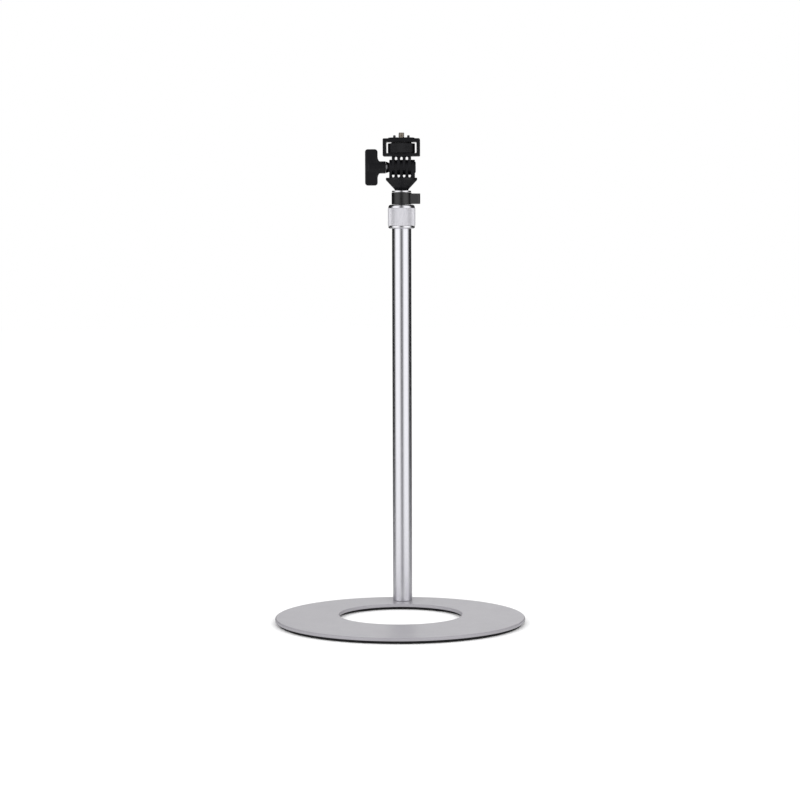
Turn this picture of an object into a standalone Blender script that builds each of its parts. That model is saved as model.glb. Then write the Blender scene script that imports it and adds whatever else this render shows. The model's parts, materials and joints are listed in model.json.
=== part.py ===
"""Desk light stand: a ring base, a telescopic pole and a tilting light bracket.

Every length is in metres. +Z is up and +Y points to the rear, where the pole stands.
The origin lies on the desk, under the middle of the ring base. Each moving group hangs
on an empty that sits on its joint's axis, and its pieces are drawn from that empty.
"""
import math

import bmesh
import bpy
from mathutils import Matrix, Vector

# Play that is left between two pieces that touch or run in each other
GAP = 0.0003
# How far a cutting shape runs past the face that it cuts
OVER = 0.002
# Points closer than this are one, and faces that meet under this angle look smooth
MERGE_DISTANCE = 1e-6
SMOOTH_ANGLE = math.radians(35)

# Ring base
PLATE_RADIUS = 0.125
PLATE_THICKNESS = 0.003
PLATE_EDGE = 0.0008
HOLE_RADIUS = 0.0616
HOLE_OFFSET = 0.015
PAD_THICKNESS = 0.0025
PAD_INSET = 0.0027
PAD_HOLE_INSET = 0.0039
POLE_INSET = 0.0225

# Countersunk screw and plug that hold the pole on the plate
FOOT_SCREW_RADIUS = 0.003
FOOT_SCREW_LENGTH = 0.018
FOOT_SCREW_LAND = 0.0004
FOOT_KEY_FLATS = 0.004
FOOT_KEY_DEPTH = 0.0016
FOOT_ACCESS_MARGIN = 0.0015
PLUG_ROOF = 0.004

# Outer tube of the pole
TUBE_RADIUS = 0.010
TUBE_WALL = 0.0012
TUBE_LENGTH = 0.397

# Twist lock: a threaded ferrule on the tube, a split collet and a knurled collar
FERRULE_WALL = 0.0017
FERRULE_SOCKET = 0.0099
FERRULE_SHOULDER = 0.0012
FERRULE_FLANGE_HEIGHT = 0.0023
FERRULE_FLANGE_LEDGE = 0.0017
FERRULE_FLANGE_FOOT = 0.0005
SEAT_HEIGHT = 0.006
SEAT_FLARE = 0.0014
COLLET_WALL = 0.0007
COLLET_HEAD_WALL = 0.0031
COLLET_SLIT = 0.0015
COLLAR_WALL = 0.0018
COLLAR_HEIGHT = 0.0218
COLLAR_WEB = 0.003
COLLAR_CROWN_HEIGHT = 0.0027
COLLAR_CROWN_DEPTH = 0.0025
COLLAR_KNURL_STEP = 0.0005
COLLAR_KNURL_DEPTH = 0.0003
COLLAR_RIDGES = 44

# Mast that slides in the tube
MAST_PLAY = 0.0008
MAST_WALL = 0.001
MAST_PARK = 0.014
BUSH_HEAD = 0.005
BUSH_SPIGOT = 0.010
BUSH_WALL = 0.002
CAP_FLANGE = 0.001
CAP_SPIGOT = 0.012
STUD_RADIUS = 0.003175
STUD_TAIL = 0.002

# Lever nut that locks the head's turn, and the washer above it
LEVER_RADIUS = 0.0103
LEVER_HEIGHT = 0.0122
LEVER_NUT_WALL = 0.0017
LEVER_NUT_INSET = 0.0006
TAB_REACH = 0.0193
TAB_THICKNESS = 0.005
TAB_LOW = 0.0004
TAB_HIGH = 0.001
WASHER_RADIUS = 0.00995
WASHER_THICKNESS = 0.0016

# Lower half of the hinge: a cone with five fingers, the right one thickened by a cheek round the bolt's head
CONE_LIP_RADIUS = 0.0069
CONE_LIP_HEIGHT = 0.0012
CONE_LOW_RADIUS = 0.0074
CONE_HEIGHT = 0.0129
CONE_RIM_HEIGHT = 0.0023
CONE_MARGIN = 0.00045
INSERT_WALL = 0.0013
INSERT_LENGTH = 0.010
AXIS_RISE = 0.0108
KNUCKLE_RADIUS = 0.0075
FINGER_COUNT = 5
FINGER_PITCH = 0.0056
FINGER_THICKNESS = 0.0026
FINGER_WEB = 0.0004
SLOT_ROOT_WIDTH = 0.0025
UPPER_SLOT_ROOT_WIDTH = 0.0027
CHEEK_THICKNESS = 0.0013

# Cross bolt of the hinge and the T-handled knob that clamps it
BOLT_RADIUS = 0.003
BOLT_HEAD_FLATS = 0.010
BOLT_HEAD_HEIGHT = 0.0019
BOLT_TAIL = 0.002
KNOB_FERRULE_LENGTH = 0.0033
KNOB_FERRULE_LOW_RADIUS = 0.0048
KNOB_FERRULE_HIGH_RADIUS = 0.0060
KNOB_HUB_RADIUS = 0.0063
KNOB_NECK = 0.0083
KNOB_NUT_WALL = 0.0013
KNOB_NUT_LENGTH = 0.012
WING_THICKNESS = 0.0128
WING_LENGTH = 0.0373
WING_DEPTH = 0.009
WING_FILLET = 0.0065
WING_CORNER = 0.002
WING_EDGE = 0.0015
HUB_INSET = 0.0025

# Upper half of the hinge: four fingers under a frame that holds the thumbwheel
CRADLE_RISE = 0.0112
FRAME_DEPTH = 0.020
FRAME_WALL = 0.00345
FRAME_FLOOR = 0.0032
FRAME_ROOF = 0.0037
FRAME_CORNER = 0.0012
WINDOW_CORNER = 0.0008
WHEEL_RADIUS = 0.0140
WHEEL_HEIGHT = 0.0093
WHEEL_SIDE_GAP = 0.00165
WHEEL_PLAY = 0.0008
WHEEL_CHAMFER = 0.0009
WHEEL_KNURL_DEPTH = 0.0003
WHEEL_RIDGES = 40
THRUST_WASHER_WALL = 0.0070
THRUST_WASHER_THICKNESS = 0.0007

# Quarter inch light screw, its seat pad and the two pins beside it
SCREW_RADIUS = 0.003175
SCREW_PITCH = 0.00127
SCREW_THREAD_DEPTH = 0.0006
SCREW_REACH = 0.0049
SCREW_PILOT_RADIUS = 0.002
SEAT_PAD_WIDTH = 0.0268
SEAT_PAD_MARGIN = 0.0012
SEAT_PAD_CORNER = 0.003
SEAT_PAD_THICKNESS = 0.0009
SEAT_PAD_EDGE = 0.0004
PIN_RADIUS = 0.0014
PIN_TIP_RADIUS = 0.0009
PIN_SPACING = 0.0144
PIN_REACH = 0.0023
PIN_DEPTH = 0.003

# Faces round a full turn
RING_FACES = 96
TUBE_FACES = 48
SMALL_FACES = 32
HIDDEN_FACES = 20
SCREW_FACES = 16
PIN_FACES = 12

# Places on the base
PLATE_BOTTOM = PAD_THICKNESS + GAP
PLATE_TOP = PLATE_BOTTOM + PLATE_THICKNESS
POLE_Y = PLATE_RADIUS - POLE_INSET
FOOT_HEAD_HEIGHT = PLATE_THICKNESS - FOOT_SCREW_LAND
FOOT_HEAD_RADIUS = FOOT_SCREW_RADIUS + FOOT_HEAD_HEIGHT

# Heights above the plate's top face, on the pole's axis
PLUG_BORE = FOOT_SCREW_LENGTH - PLATE_THICKNESS
PLUG_TOP = GAP + PLUG_BORE + PLUG_ROOF
TUBE_BORE_RADIUS = TUBE_RADIUS - TUBE_WALL
TUBE_TOP = GAP + TUBE_LENGTH
FERRULE_STEP = TUBE_TOP + GAP
FERRULE_BOTTOM = FERRULE_STEP - FERRULE_SOCKET
FERRULE_THREAD_RADIUS = TUBE_RADIUS + GAP + FERRULE_WALL
FERRULE_FLANGE_RADIUS = FERRULE_THREAD_RADIUS + FERRULE_FLANGE_LEDGE
FERRULE_FLANGE_TOP = FERRULE_BOTTOM + FERRULE_FLANGE_HEIGHT
SEAT_BOTTOM = FERRULE_STEP + FERRULE_SHOULDER
FERRULE_TOP = SEAT_BOTTOM + SEAT_HEIGHT
COLLAR_BOTTOM = FERRULE_FLANGE_TOP + GAP
COLLAR_TOP = COLLAR_BOTTOM + COLLAR_HEIGHT
COLLAR_BORE_RADIUS = FERRULE_THREAD_RADIUS + GAP
COLLAR_RADIUS = COLLAR_BORE_RADIUS + COLLAR_WALL
WEB_BOTTOM = COLLAR_TOP - COLLAR_WEB
MAST_RADIUS = TUBE_BORE_RADIUS - MAST_PLAY
MAST_BORE_RADIUS = MAST_RADIUS - MAST_WALL
MAST_TOP = COLLAR_TOP - CAP_FLANGE - GAP
MAST_BOTTOM = PLUG_TOP + MAST_PARK + BUSH_HEAD + GAP
SEAT_LOW_RADIUS = MAST_RADIUS + GAP + COLLET_WALL + GAP

# Heights above the collar, on the mast's axis
LEVER_BOTTOM = GAP
LEVER_TOP = LEVER_BOTTOM + LEVER_HEIGHT
WASHER_BOTTOM = LEVER_TOP + GAP
WASHER_TOP = WASHER_BOTTOM + WASHER_THICKNESS
HEAD_BOTTOM = WASHER_TOP + GAP
STUD_BORE_RADIUS = STUD_RADIUS + GAP

# Heights above the head's underside, and widths of the hinge
AXIS_HEIGHT = CONE_HEIGHT + AXIS_RISE
COMB_HALF_WIDTH = ((FINGER_COUNT - 1) * FINGER_PITCH + FINGER_THICKNESS) / 2
CHEEK_FACE = COMB_HALF_WIDTH + CHEEK_THICKNESS
CONE_TOP_RADIUS = math.hypot(CHEEK_FACE, KNUCKLE_RADIUS) + CONE_MARGIN
SLOT_WIDTH = FINGER_PITCH - FINGER_THICKNESS
UPPER_FINGER = SLOT_WIDTH - 2 * GAP
UPPER_SLOT_WIDTH = FINGER_PITCH - UPPER_FINGER
UPPER_COUNT = FINGER_COUNT - 1
UPPER_HALF_WIDTH = ((UPPER_COUNT - 1) * FINGER_PITCH + UPPER_FINGER) / 2
BOLT_BORE_RADIUS = BOLT_RADIUS + GAP
INSERT_RADIUS = STUD_BORE_RADIUS + INSERT_WALL

# Distances from the middle of the hinge along the cross bolt
KNOB_FERRULE_START = COMB_HALF_WIDTH + GAP
KNOB_START = KNOB_FERRULE_START + KNOB_FERRULE_LENGTH + GAP
WING_START = KNOB_START + KNOB_NECK
WING_END = WING_START + WING_THICKNESS
KNOB_NUT_RADIUS = BOLT_BORE_RADIUS + KNOB_NUT_WALL
KNOB_BORE_DEPTH = KNOB_NUT_LENGTH + BOLT_TAIL + 2 * GAP

# Heights above the hinge axis, in the frame
FRAME_BOTTOM = CRADLE_RISE
WINDOW_BOTTOM = FRAME_BOTTOM + FRAME_FLOOR
WHEEL_BOTTOM = WINDOW_BOTTOM + WHEEL_PLAY
WHEEL_TOP = WHEEL_BOTTOM + WHEEL_HEIGHT
WINDOW_TOP = WHEEL_TOP + THRUST_WASHER_THICKNESS + 2 * GAP
FRAME_TOP = WINDOW_TOP + FRAME_ROOF
SEAT_PAD_BOTTOM = FRAME_TOP + GAP
SEAT_PAD_TOP = SEAT_PAD_BOTTOM + SEAT_PAD_THICKNESS
SCREW_TOP = SEAT_PAD_TOP + SCREW_REACH
SCREW_BORE_RADIUS = SCREW_RADIUS + GAP
WINDOW_HALF_WIDTH = WHEEL_RADIUS + WHEEL_SIDE_GAP
FRAME_HALF_WIDTH = WINDOW_HALF_WIDTH + FRAME_WALL


def clear_scene():
    """Empties the file before the stand is built."""
    for item in list(bpy.data.objects):
        bpy.data.objects.remove(item, do_unlink=True)


def make_material(name, colour, roughness, metallic):
    """Returns a material with one Principled BSDF."""
    material = bpy.data.materials.new(name)
    material.use_nodes = True
    shader = material.node_tree.nodes["Principled BSDF"]
    shader.inputs["Base Color"].default_value = (*colour, 1.0)
    shader.inputs["Roughness"].default_value = roughness
    shader.inputs["Metallic"].default_value = metallic
    return material


def make_axis(name, location, parent=None):
    """Returns an empty that stands on a joint's axis."""
    axis = bpy.data.objects.new(name, None)
    axis.empty_display_size = 0.01
    axis.location = location
    axis.parent = parent
    bpy.context.collection.objects.link(axis)
    return axis


def add_object(name, shape, material=None, parent=None, location=(0, 0, 0), rotation=(0, 0, 0)):
    """Turns a bmesh into an object, smooth where its faces meet at a shallow angle."""
    mesh = bpy.data.meshes.new(name)
    shape.to_mesh(mesh)
    shape.free()
    mesh.shade_smooth()
    mesh.set_sharp_from_angle(angle=SMOOTH_ANGLE)
    if material:
        mesh.materials.append(material)
    item = bpy.data.objects.new(name, mesh)
    item.location = location
    item.rotation_euler = rotation
    item.parent = parent
    bpy.context.collection.objects.link(item)
    return item


def combine(target, tool, operation="DIFFERENCE"):
    """Cuts a tool shape out of a piece, or joins it on, and keeps the tool out of sight."""
    tool.hide_render = True
    tool.display_type = "WIRE"
    step = target.modifiers.new(tool.name, "BOOLEAN")
    step.operation = operation
    step.solver = "EXACT"
    step.object = tool


def round_corners(corners, steps=2):
    """Returns the points of an outline whose corners (x, y, radius) are arcs."""
    points = []
    for index, (x, y, radius) in enumerate(corners):
        corner = Vector((x, y))
        if radius == 0:
            points.append(corner)
            continue
        before = (Vector(corners[index - 1][:2]) - corner).normalized()
        after = (Vector(corners[(index + 1) % len(corners)][:2]) - corner).normalized()
        half_angle = before.angle(after) / 2
        centre = corner + (before + after).normalized() * radius / math.sin(half_angle)
        start = corner + before * radius / math.tan(half_angle) - centre
        stop = corner + after * radius / math.tan(half_angle) - centre
        first = math.atan2(start.y, start.x)
        sweep = math.atan2(stop.y, stop.x) - first
        sweep = (sweep + math.pi) % (2 * math.pi) - math.pi
        for step in range(steps + 1):
            angle = first + sweep * step / steps
            points.append(centre + Vector((math.cos(angle), math.sin(angle))) * radius)
    return points


def turn_profile(profile, faces, closed=False):
    """Spins a profile of (radius, height) points round Z into a closed solid."""
    shape = bmesh.new()
    verts = [shape.verts.new((radius, 0, height)) for radius, height in profile]
    edges = [shape.edges.new(pair) for pair in zip(verts, verts[1:])]
    if closed:
        edges.append(shape.edges.new((verts[-1], verts[0])))
    bmesh.ops.spin(shape, geom=verts + edges, axis=(0, 0, 1), cent=(0, 0, 0), dvec=(0, 0, 0),
                   angle=2 * math.pi, steps=faces, use_duplicate=False)
    bmesh.ops.remove_doubles(shape, verts=shape.verts, dist=MERGE_DISTANCE)
    bmesh.ops.recalc_face_normals(shape, faces=shape.faces)
    return shape


def extrude_outline(points, depth):
    """Extrudes an outline in the XY plane evenly to both sides along Z."""
    shape = bmesh.new()
    face = shape.faces.new([shape.verts.new((x, y, -depth / 2)) for x, y in points])
    grown = bmesh.ops.extrude_face_region(shape, geom=[face])["geom"]
    top = [item for item in grown if isinstance(item, bmesh.types.BMVert)]
    bmesh.ops.translate(shape, verts=top, vec=(0, 0, depth))
    bmesh.ops.recalc_face_normals(shape, faces=shape.faces)
    return shape


def make_block(low, high):
    """Returns a box between two corners."""
    shape = bmesh.new()
    size = Vector(high) - Vector(low)
    middle = (Vector(high) + Vector(low)) / 2
    bmesh.ops.create_cube(shape, size=1, matrix=Matrix.Translation(middle) @ Matrix.Diagonal((*size, 1)))
    return shape


def bevel_edges(shape, chooser, width, segments=1):
    """Bevels the edges that the chooser accepts."""
    edges = [edge for edge in shape.edges if chooser(edge)]
    bmesh.ops.bevel(shape, geom=edges, offset=width, segments=segments, affect="EDGES", profile=0.5)


def make_hexagon(flats, depth):
    """Returns a six-sided prism, centred on Z, with the given width across its flats."""
    reach = flats / math.sqrt(3)
    corners = [(reach * math.cos(math.radians(60 * turn)), reach * math.sin(math.radians(60 * turn)))
               for turn in range(6)]
    return extrude_outline(corners, depth)


def make_sleeve(outer, inner, low, high, faces, chamfer=0.0):
    """Returns a plain ring or tube, with its outer edges broken by a chamfer."""
    if chamfer:
        profile = [(inner, low), (outer - chamfer, low), (outer, low + chamfer),
                   (outer, high - chamfer), (outer - chamfer, high), (inner, high)]
    else:
        profile = [(inner, low), (outer, low), (outer, high), (inner, high)]
    return turn_profile(profile, faces, closed=True)


def make_rod(radius, low, high, faces=HIDDEN_FACES, chamfer=0.0):
    """Returns a solid round rod, with both ends broken by a chamfer."""
    if chamfer:
        profile = [(0, low), (radius - chamfer, low), (radius, low + chamfer),
                   (radius, high - chamfer), (radius - chamfer, high), (0, high)]
    else:
        profile = [(0, low), (radius, low), (radius, high), (0, high)]
    return turn_profile(profile, faces)


def knurl(shape, ridges, depth, low, high, radius):
    """Presses every second column of a turned surface inwards, between two heights."""
    step = math.pi / ridges
    for vert in shape.verts:
        reach = math.hypot(vert.co.x, vert.co.y)
        column = round(math.atan2(vert.co.y, vert.co.x) / step)
        if column % 2 and low <= vert.co.z <= high and reach > radius:
            vert.co.xy *= (reach - depth) / reach


def build_base(materials):
    """Makes the ring plate, the rubber pad under it and the screw that holds the pole."""
    pole = Vector((0, POLE_Y, 0))
    plate_shape = make_ring(PLATE_RADIUS, HOLE_RADIUS, PLATE_BOTTOM, PLATE_TOP)
    bevel_edges(plate_shape, lambda edge: edge.calc_face_angle(0) > 1 and edge.verts[0].co.z > PAD_THICKNESS,
                PLATE_EDGE)
    plate = add_object("base_plate", plate_shape, materials["plate"])
    head_room = FOOT_HEAD_RADIUS + GAP
    shank_room = FOOT_SCREW_RADIUS + GAP
    countersink = turn_profile([
        (0, -OVER), (head_room, -OVER), (head_room, 0), (shank_room, FOOT_HEAD_HEIGHT),
        (shank_room, PLATE_THICKNESS + OVER), (0, PLATE_THICKNESS + OVER),
    ], HIDDEN_FACES)
    under_plate = pole + Vector((0, 0, PLATE_BOTTOM))
    combine(plate, add_object("plate_countersink", countersink, location=under_plate))

    pad_shape = make_ring(PLATE_RADIUS - PAD_INSET, HOLE_RADIUS + PAD_HOLE_INSET, 0, PAD_THICKNESS)
    pad = add_object("base_pad", pad_shape, materials["rubber"])
    access = make_rod(head_room + FOOT_ACCESS_MARGIN, -OVER, PLATE_BOTTOM)
    combine(pad, add_object("pad_access", access, location=pole))

    tip = FOOT_SCREW_LENGTH
    screw_shape = turn_profile([
        (0, 0), (FOOT_HEAD_RADIUS, 0), (FOOT_SCREW_RADIUS, FOOT_HEAD_HEIGHT),
        (FOOT_SCREW_RADIUS, tip - GAP), (FOOT_SCREW_RADIUS - GAP, tip), (0, tip),
    ], HIDDEN_FACES)
    screw = add_object("foot_screw", screw_shape, materials["steel"], location=under_plate)
    key_shape = make_hexagon(FOOT_KEY_FLATS, 2 * FOOT_KEY_DEPTH)
    combine(screw, add_object("foot_key", key_shape, location=under_plate))


def make_ring(outer, inner, low, high):
    """Returns a flat ring whose hole lies off its middle, towards the rear."""
    shape = bmesh.new()
    loops = []
    for radius, offset in ((outer, 0), (inner, HOLE_OFFSET)):
        ring = bmesh.ops.create_circle(shape, segments=RING_FACES, radius=radius, cap_ends=False,
                                       matrix=Matrix.Translation((0, offset, low)))["verts"]
        loops += list({edge for vert in ring for edge in vert.link_edges})
    faces = bmesh.ops.bridge_loops(shape, edges=loops)["faces"]
    grown = bmesh.ops.extrude_face_region(shape, geom=faces)["geom"]
    top = [item for item in grown if isinstance(item, bmesh.types.BMVert)]
    bmesh.ops.translate(shape, verts=top, vec=(0, 0, high - low))
    bmesh.ops.recalc_face_normals(shape, faces=shape.faces)
    return shape


def build_pole(materials, pole):
    """Makes the outer tube, its foot plug and the fixed pieces of the twist lock."""
    bore = FOOT_SCREW_RADIUS + GAP
    plug = turn_profile([(0, PLUG_BORE), (bore, PLUG_BORE), (bore, GAP), (TUBE_BORE_RADIUS - GAP, GAP),
                         (TUBE_BORE_RADIUS - GAP, PLUG_TOP), (0, PLUG_TOP)], HIDDEN_FACES)
    add_object("foot_plug", plug, materials["aluminium"], pole)
    tube = make_sleeve(TUBE_RADIUS, TUBE_BORE_RADIUS, GAP, TUBE_TOP, TUBE_FACES)
    add_object("outer_tube", tube, materials["polished"], pole)

    socket_radius = TUBE_RADIUS + GAP
    seat_top_radius = SEAT_LOW_RADIUS + SEAT_FLARE
    ferrule = turn_profile([
        (socket_radius, FERRULE_BOTTOM), (socket_radius + FERRULE_FLANGE_FOOT, FERRULE_BOTTOM),
        (FERRULE_FLANGE_RADIUS, FERRULE_FLANGE_TOP - GAP), (FERRULE_FLANGE_RADIUS, FERRULE_FLANGE_TOP),
        (FERRULE_THREAD_RADIUS, FERRULE_FLANGE_TOP), (FERRULE_THREAD_RADIUS, FERRULE_TOP),
        (seat_top_radius, FERRULE_TOP), (SEAT_LOW_RADIUS, SEAT_BOTTOM),
        (MAST_RADIUS + GAP, SEAT_BOTTOM), (MAST_RADIUS + GAP, FERRULE_STEP), (socket_radius, FERRULE_STEP),
    ], TUBE_FACES, closed=True)
    add_object("collar_ferrule", ferrule, materials["polished"], pole)

    inner = MAST_RADIUS + GAP
    head_radius = inner + COLLET_HEAD_WALL
    collet_shape = turn_profile([
        (inner, SEAT_BOTTOM + GAP), (SEAT_LOW_RADIUS - GAP, SEAT_BOTTOM + GAP),
        (seat_top_radius - GAP, FERRULE_TOP + GAP), (head_radius, FERRULE_TOP + GAP),
        (head_radius, WEB_BOTTOM - GAP), (inner, WEB_BOTTOM - GAP),
    ], SMALL_FACES, closed=True)
    collet = add_object("lock_collet", collet_shape, materials["nylon"], pole)
    slit = make_block((-COLLET_SLIT / 2, 0, SEAT_BOTTOM - OVER), (COLLET_SLIT / 2, COLLAR_RADIUS, COLLAR_TOP))
    combine(collet, add_object("collet_slit", slit, parent=pole))


def build_collar(materials, pole):
    """Makes the knurled collar that is twisted to lock the mast."""
    collar_axis = make_axis("collar_axis", (0, 0, COLLAR_BOTTOM), pole)
    crown_low = COLLAR_HEIGHT - COLLAR_CROWN_HEIGHT
    crown_start = COLLAR_RADIUS - COLLAR_KNURL_STEP
    crown_top = COLLAR_RADIUS - COLLAR_CROWN_DEPTH
    crown_middle = (crown_start * 2 + crown_top) / 3
    web = COLLAR_HEIGHT - COLLAR_WEB
    collar = turn_profile([
        (COLLAR_BORE_RADIUS, 0), (COLLAR_RADIUS - COLLAR_KNURL_STEP, 0), (COLLAR_RADIUS, COLLAR_KNURL_STEP),
        (COLLAR_RADIUS, crown_low - COLLAR_KNURL_STEP / 2), (crown_start, crown_low),
        (crown_middle, COLLAR_HEIGHT - COLLAR_CROWN_HEIGHT / 3), (crown_top, COLLAR_HEIGHT),
        (MAST_RADIUS + GAP, COLLAR_HEIGHT), (MAST_RADIUS + GAP, web), (COLLAR_BORE_RADIUS, web),
    ], 2 * COLLAR_RIDGES, closed=True)
    knurl(collar, COLLAR_RIDGES, COLLAR_KNURL_DEPTH, COLLAR_KNURL_STEP / 2, crown_low - COLLAR_KNURL_STEP / 4,
          COLLAR_RADIUS - COLLAR_KNURL_STEP / 2)
    add_object("twist_collar", collar, materials["knurled"], collar_axis)


def build_mast(materials, mast):
    """Makes the sliding tube, the bush at its foot, and the cap and stud at its top."""
    low = MAST_BOTTOM - COLLAR_TOP
    high = MAST_TOP - COLLAR_TOP
    tube = make_sleeve(MAST_RADIUS, MAST_BORE_RADIUS, low, high, TUBE_FACES)
    add_object("inner_tube", tube, materials["polished"], mast)
    spigot = MAST_BORE_RADIUS - GAP
    bush = turn_profile([
        (spigot - BUSH_WALL, low - GAP - BUSH_HEAD), (TUBE_BORE_RADIUS - GAP, low - GAP - BUSH_HEAD),
        (TUBE_BORE_RADIUS - GAP, low - GAP), (spigot, low - GAP), (spigot, low + BUSH_SPIGOT),
        (spigot - BUSH_WALL, low + BUSH_SPIGOT),
    ], HIDDEN_FACES, closed=True)
    add_object("guide_bush", bush, materials["nylon"], mast)
    cap = turn_profile([
        (STUD_BORE_RADIUS, high - CAP_SPIGOT), (spigot, high - CAP_SPIGOT), (spigot, high + GAP),
        (MAST_RADIUS, high + GAP), (MAST_RADIUS, 0), (STUD_BORE_RADIUS, 0),
    ], SMALL_FACES, closed=True)
    add_object("mast_cap", cap, materials["aluminium"], mast)
    stud_low = high - CAP_SPIGOT - STUD_TAIL
    stud_high = HEAD_BOTTOM + INSERT_LENGTH
    stud = make_rod(STUD_RADIUS, stud_low, stud_high, chamfer=2 * GAP)
    add_object("mast_stud", stud, materials["steel"], mast)
    washer = make_sleeve(WASHER_RADIUS, STUD_BORE_RADIUS, WASHER_BOTTOM, WASHER_TOP, TUBE_FACES, GAP)
    add_object("friction_washer", washer, materials["polished"], mast)


def build_lever(materials, mast):
    """Makes the lever nut that jams the head on its stud."""
    axis = make_axis("lever_axis", (0, 0, LEVER_BOTTOM), mast)
    nut_radius = STUD_BORE_RADIUS + LEVER_NUT_WALL
    band = make_sleeve(LEVER_RADIUS, nut_radius + GAP, 0, LEVER_HEIGHT, TUBE_FACES, GAP)
    lever = add_object("lock_lever", band, materials["black"], axis)
    tab_shape = make_block((nut_radius + 2 * GAP, -TAB_THICKNESS / 2, TAB_LOW),
                           (TAB_REACH, TAB_THICKNESS / 2, LEVER_HEIGHT - TAB_HIGH))
    bevel_edges(tab_shape, lambda edge: all(vert.co.x > LEVER_RADIUS for vert in edge.verts),
                TAB_THICKNESS / 8, 2)
    combine(lever, add_object("lever_tab", tab_shape, parent=axis), "UNION")
    nut = make_sleeve(nut_radius, STUD_BORE_RADIUS, LEVER_NUT_INSET, LEVER_HEIGHT - LEVER_NUT_INSET,
                      HIDDEN_FACES)
    add_object("lever_nut", nut, materials["brass"], axis)


def comb_outline(reach):
    """Returns a knuckle's side outline: round about the axis, straight up or down to a reach."""
    side = math.copysign(1, reach)
    arc = [(KNUCKLE_RADIUS * math.cos(angle), -side * KNUCKLE_RADIUS * math.sin(angle))
           for angle in (math.pi * step / 10 for step in range(11))]
    return [(KNUCKLE_RADIUS, reach), *arc, (-KNUCKLE_RADIUS, reach)]


def slot_tool(width, root_width, root, step, mouth):
    """Returns a cutter for the gap between two fingers, narrower past a step and round at its root."""
    side = math.copysign(1, mouth - root)
    half = width / 2
    root_half = root_width / 2
    shoulder = step - side * (half - root_half)
    arc = [(-root_half * math.cos(angle), root + side * root_half * (1 - math.sin(angle)))
           for angle in (math.pi * turn / 6 for turn in range(7))]
    return extrude_outline([(-half, mouth), (-half, step), (-root_half, shoulder), *arc,
                            (root_half, shoulder), (half, step), (half, mouth)], 2 * FRAME_DEPTH)


def build_head(materials, pan):
    """Makes the cone with the lower fingers, its brass insert and the cross bolt."""
    bore = INSERT_RADIUS + GAP
    bore_top = INSERT_LENGTH + GAP
    cone = turn_profile([
        (0, bore_top), (bore, bore_top), (bore, 0), (CONE_LIP_RADIUS, 0), (CONE_LOW_RADIUS, CONE_LIP_HEIGHT),
        (CONE_TOP_RADIUS, CONE_HEIGHT - CONE_RIM_HEIGHT), (CONE_TOP_RADIUS, CONE_HEIGHT - GAP),
        (CONE_TOP_RADIUS - GAP, CONE_HEIGHT), (0, CONE_HEIGHT),
    ], TUBE_FACES)
    base = add_object("hinge_base", cone, materials["black"], pan)
    across = (math.pi / 2, 0, math.pi / 2)
    block = extrude_outline(comb_outline(-AXIS_RISE - CONE_RIM_HEIGHT / 2), COMB_HALF_WIDTH + CHEEK_FACE)
    middle = (CHEEK_FACE - COMB_HALF_WIDTH) / 2
    comb = add_object("base_comb", block, parent=pan, location=(middle, 0, AXIS_HEIGHT), rotation=across)
    combine(base, comb, "UNION")
    for index in range(UPPER_COUNT):
        x = (index - (UPPER_COUNT - 1) / 2) * FINGER_PITCH
        slot = slot_tool(SLOT_WIDTH, SLOT_ROOT_WIDTH, FINGER_WEB - AXIS_RISE, -KNUCKLE_RADIUS - GAP,
                         KNUCKLE_RADIUS + OVER)
        combine(base, add_object(f"base_slot_{index}", slot, parent=pan, location=(x, 0, AXIS_HEIGHT),
                                 rotation=(math.pi / 2, 0, 0)))
    sideways = (0, math.pi / 2, 0)
    hole = make_rod(BOLT_BORE_RADIUS, -COMB_HALF_WIDTH - OVER, CHEEK_FACE + OVER)
    combine(base, add_object("base_bolt_hole", hole, parent=pan, location=(0, 0, AXIS_HEIGHT),
                             rotation=sideways))
    pocket = make_hexagon(BOLT_HEAD_FLATS + 2 * GAP, 2 * CHEEK_THICKNESS)
    combine(base, add_object("base_head_pocket", pocket, parent=pan, location=(CHEEK_FACE, 0, AXIS_HEIGHT),
                             rotation=sideways))
    insert = make_sleeve(INSERT_RADIUS, STUD_BORE_RADIUS, GAP, INSERT_LENGTH, HIDDEN_FACES)
    add_object("base_insert", insert, materials["brass"], pan)

    head_face = COMB_HALF_WIDTH + GAP
    tail = -KNOB_START - KNOB_NUT_LENGTH
    shaft = make_rod(BOLT_RADIUS, tail, head_face + BOLT_HEAD_HEIGHT / 2, chamfer=GAP)
    bolt = add_object("clamp_bolt", shaft, materials["steel_black"], pan, (0, 0, AXIS_HEIGHT), sideways)
    nut = make_hexagon(BOLT_HEAD_FLATS, BOLT_HEAD_HEIGHT)
    combine(bolt, add_object("bolt_head", nut, parent=pan, rotation=sideways,
                             location=(head_face + BOLT_HEAD_HEIGHT / 2, 0, AXIS_HEIGHT)), "UNION")


def knob_outline():
    """Returns the T handle's outline: two wings that run into the hub's sides by concave arcs."""
    root = math.sqrt(KNOB_HUB_RADIUS ** 2 - (WING_DEPTH / 2) ** 2)
    half = WING_LENGTH / 2
    return round_corners([
        (root, WING_START - WING_FILLET, 0), (root, WING_START, WING_FILLET), (half, WING_START, WING_CORNER),
        (half, WING_END, WING_CORNER), (-half, WING_END, WING_CORNER), (-half, WING_START, WING_CORNER),
        (-root, WING_START, WING_FILLET), (-root, WING_START - WING_FILLET, 0),
    ], 4)


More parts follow.
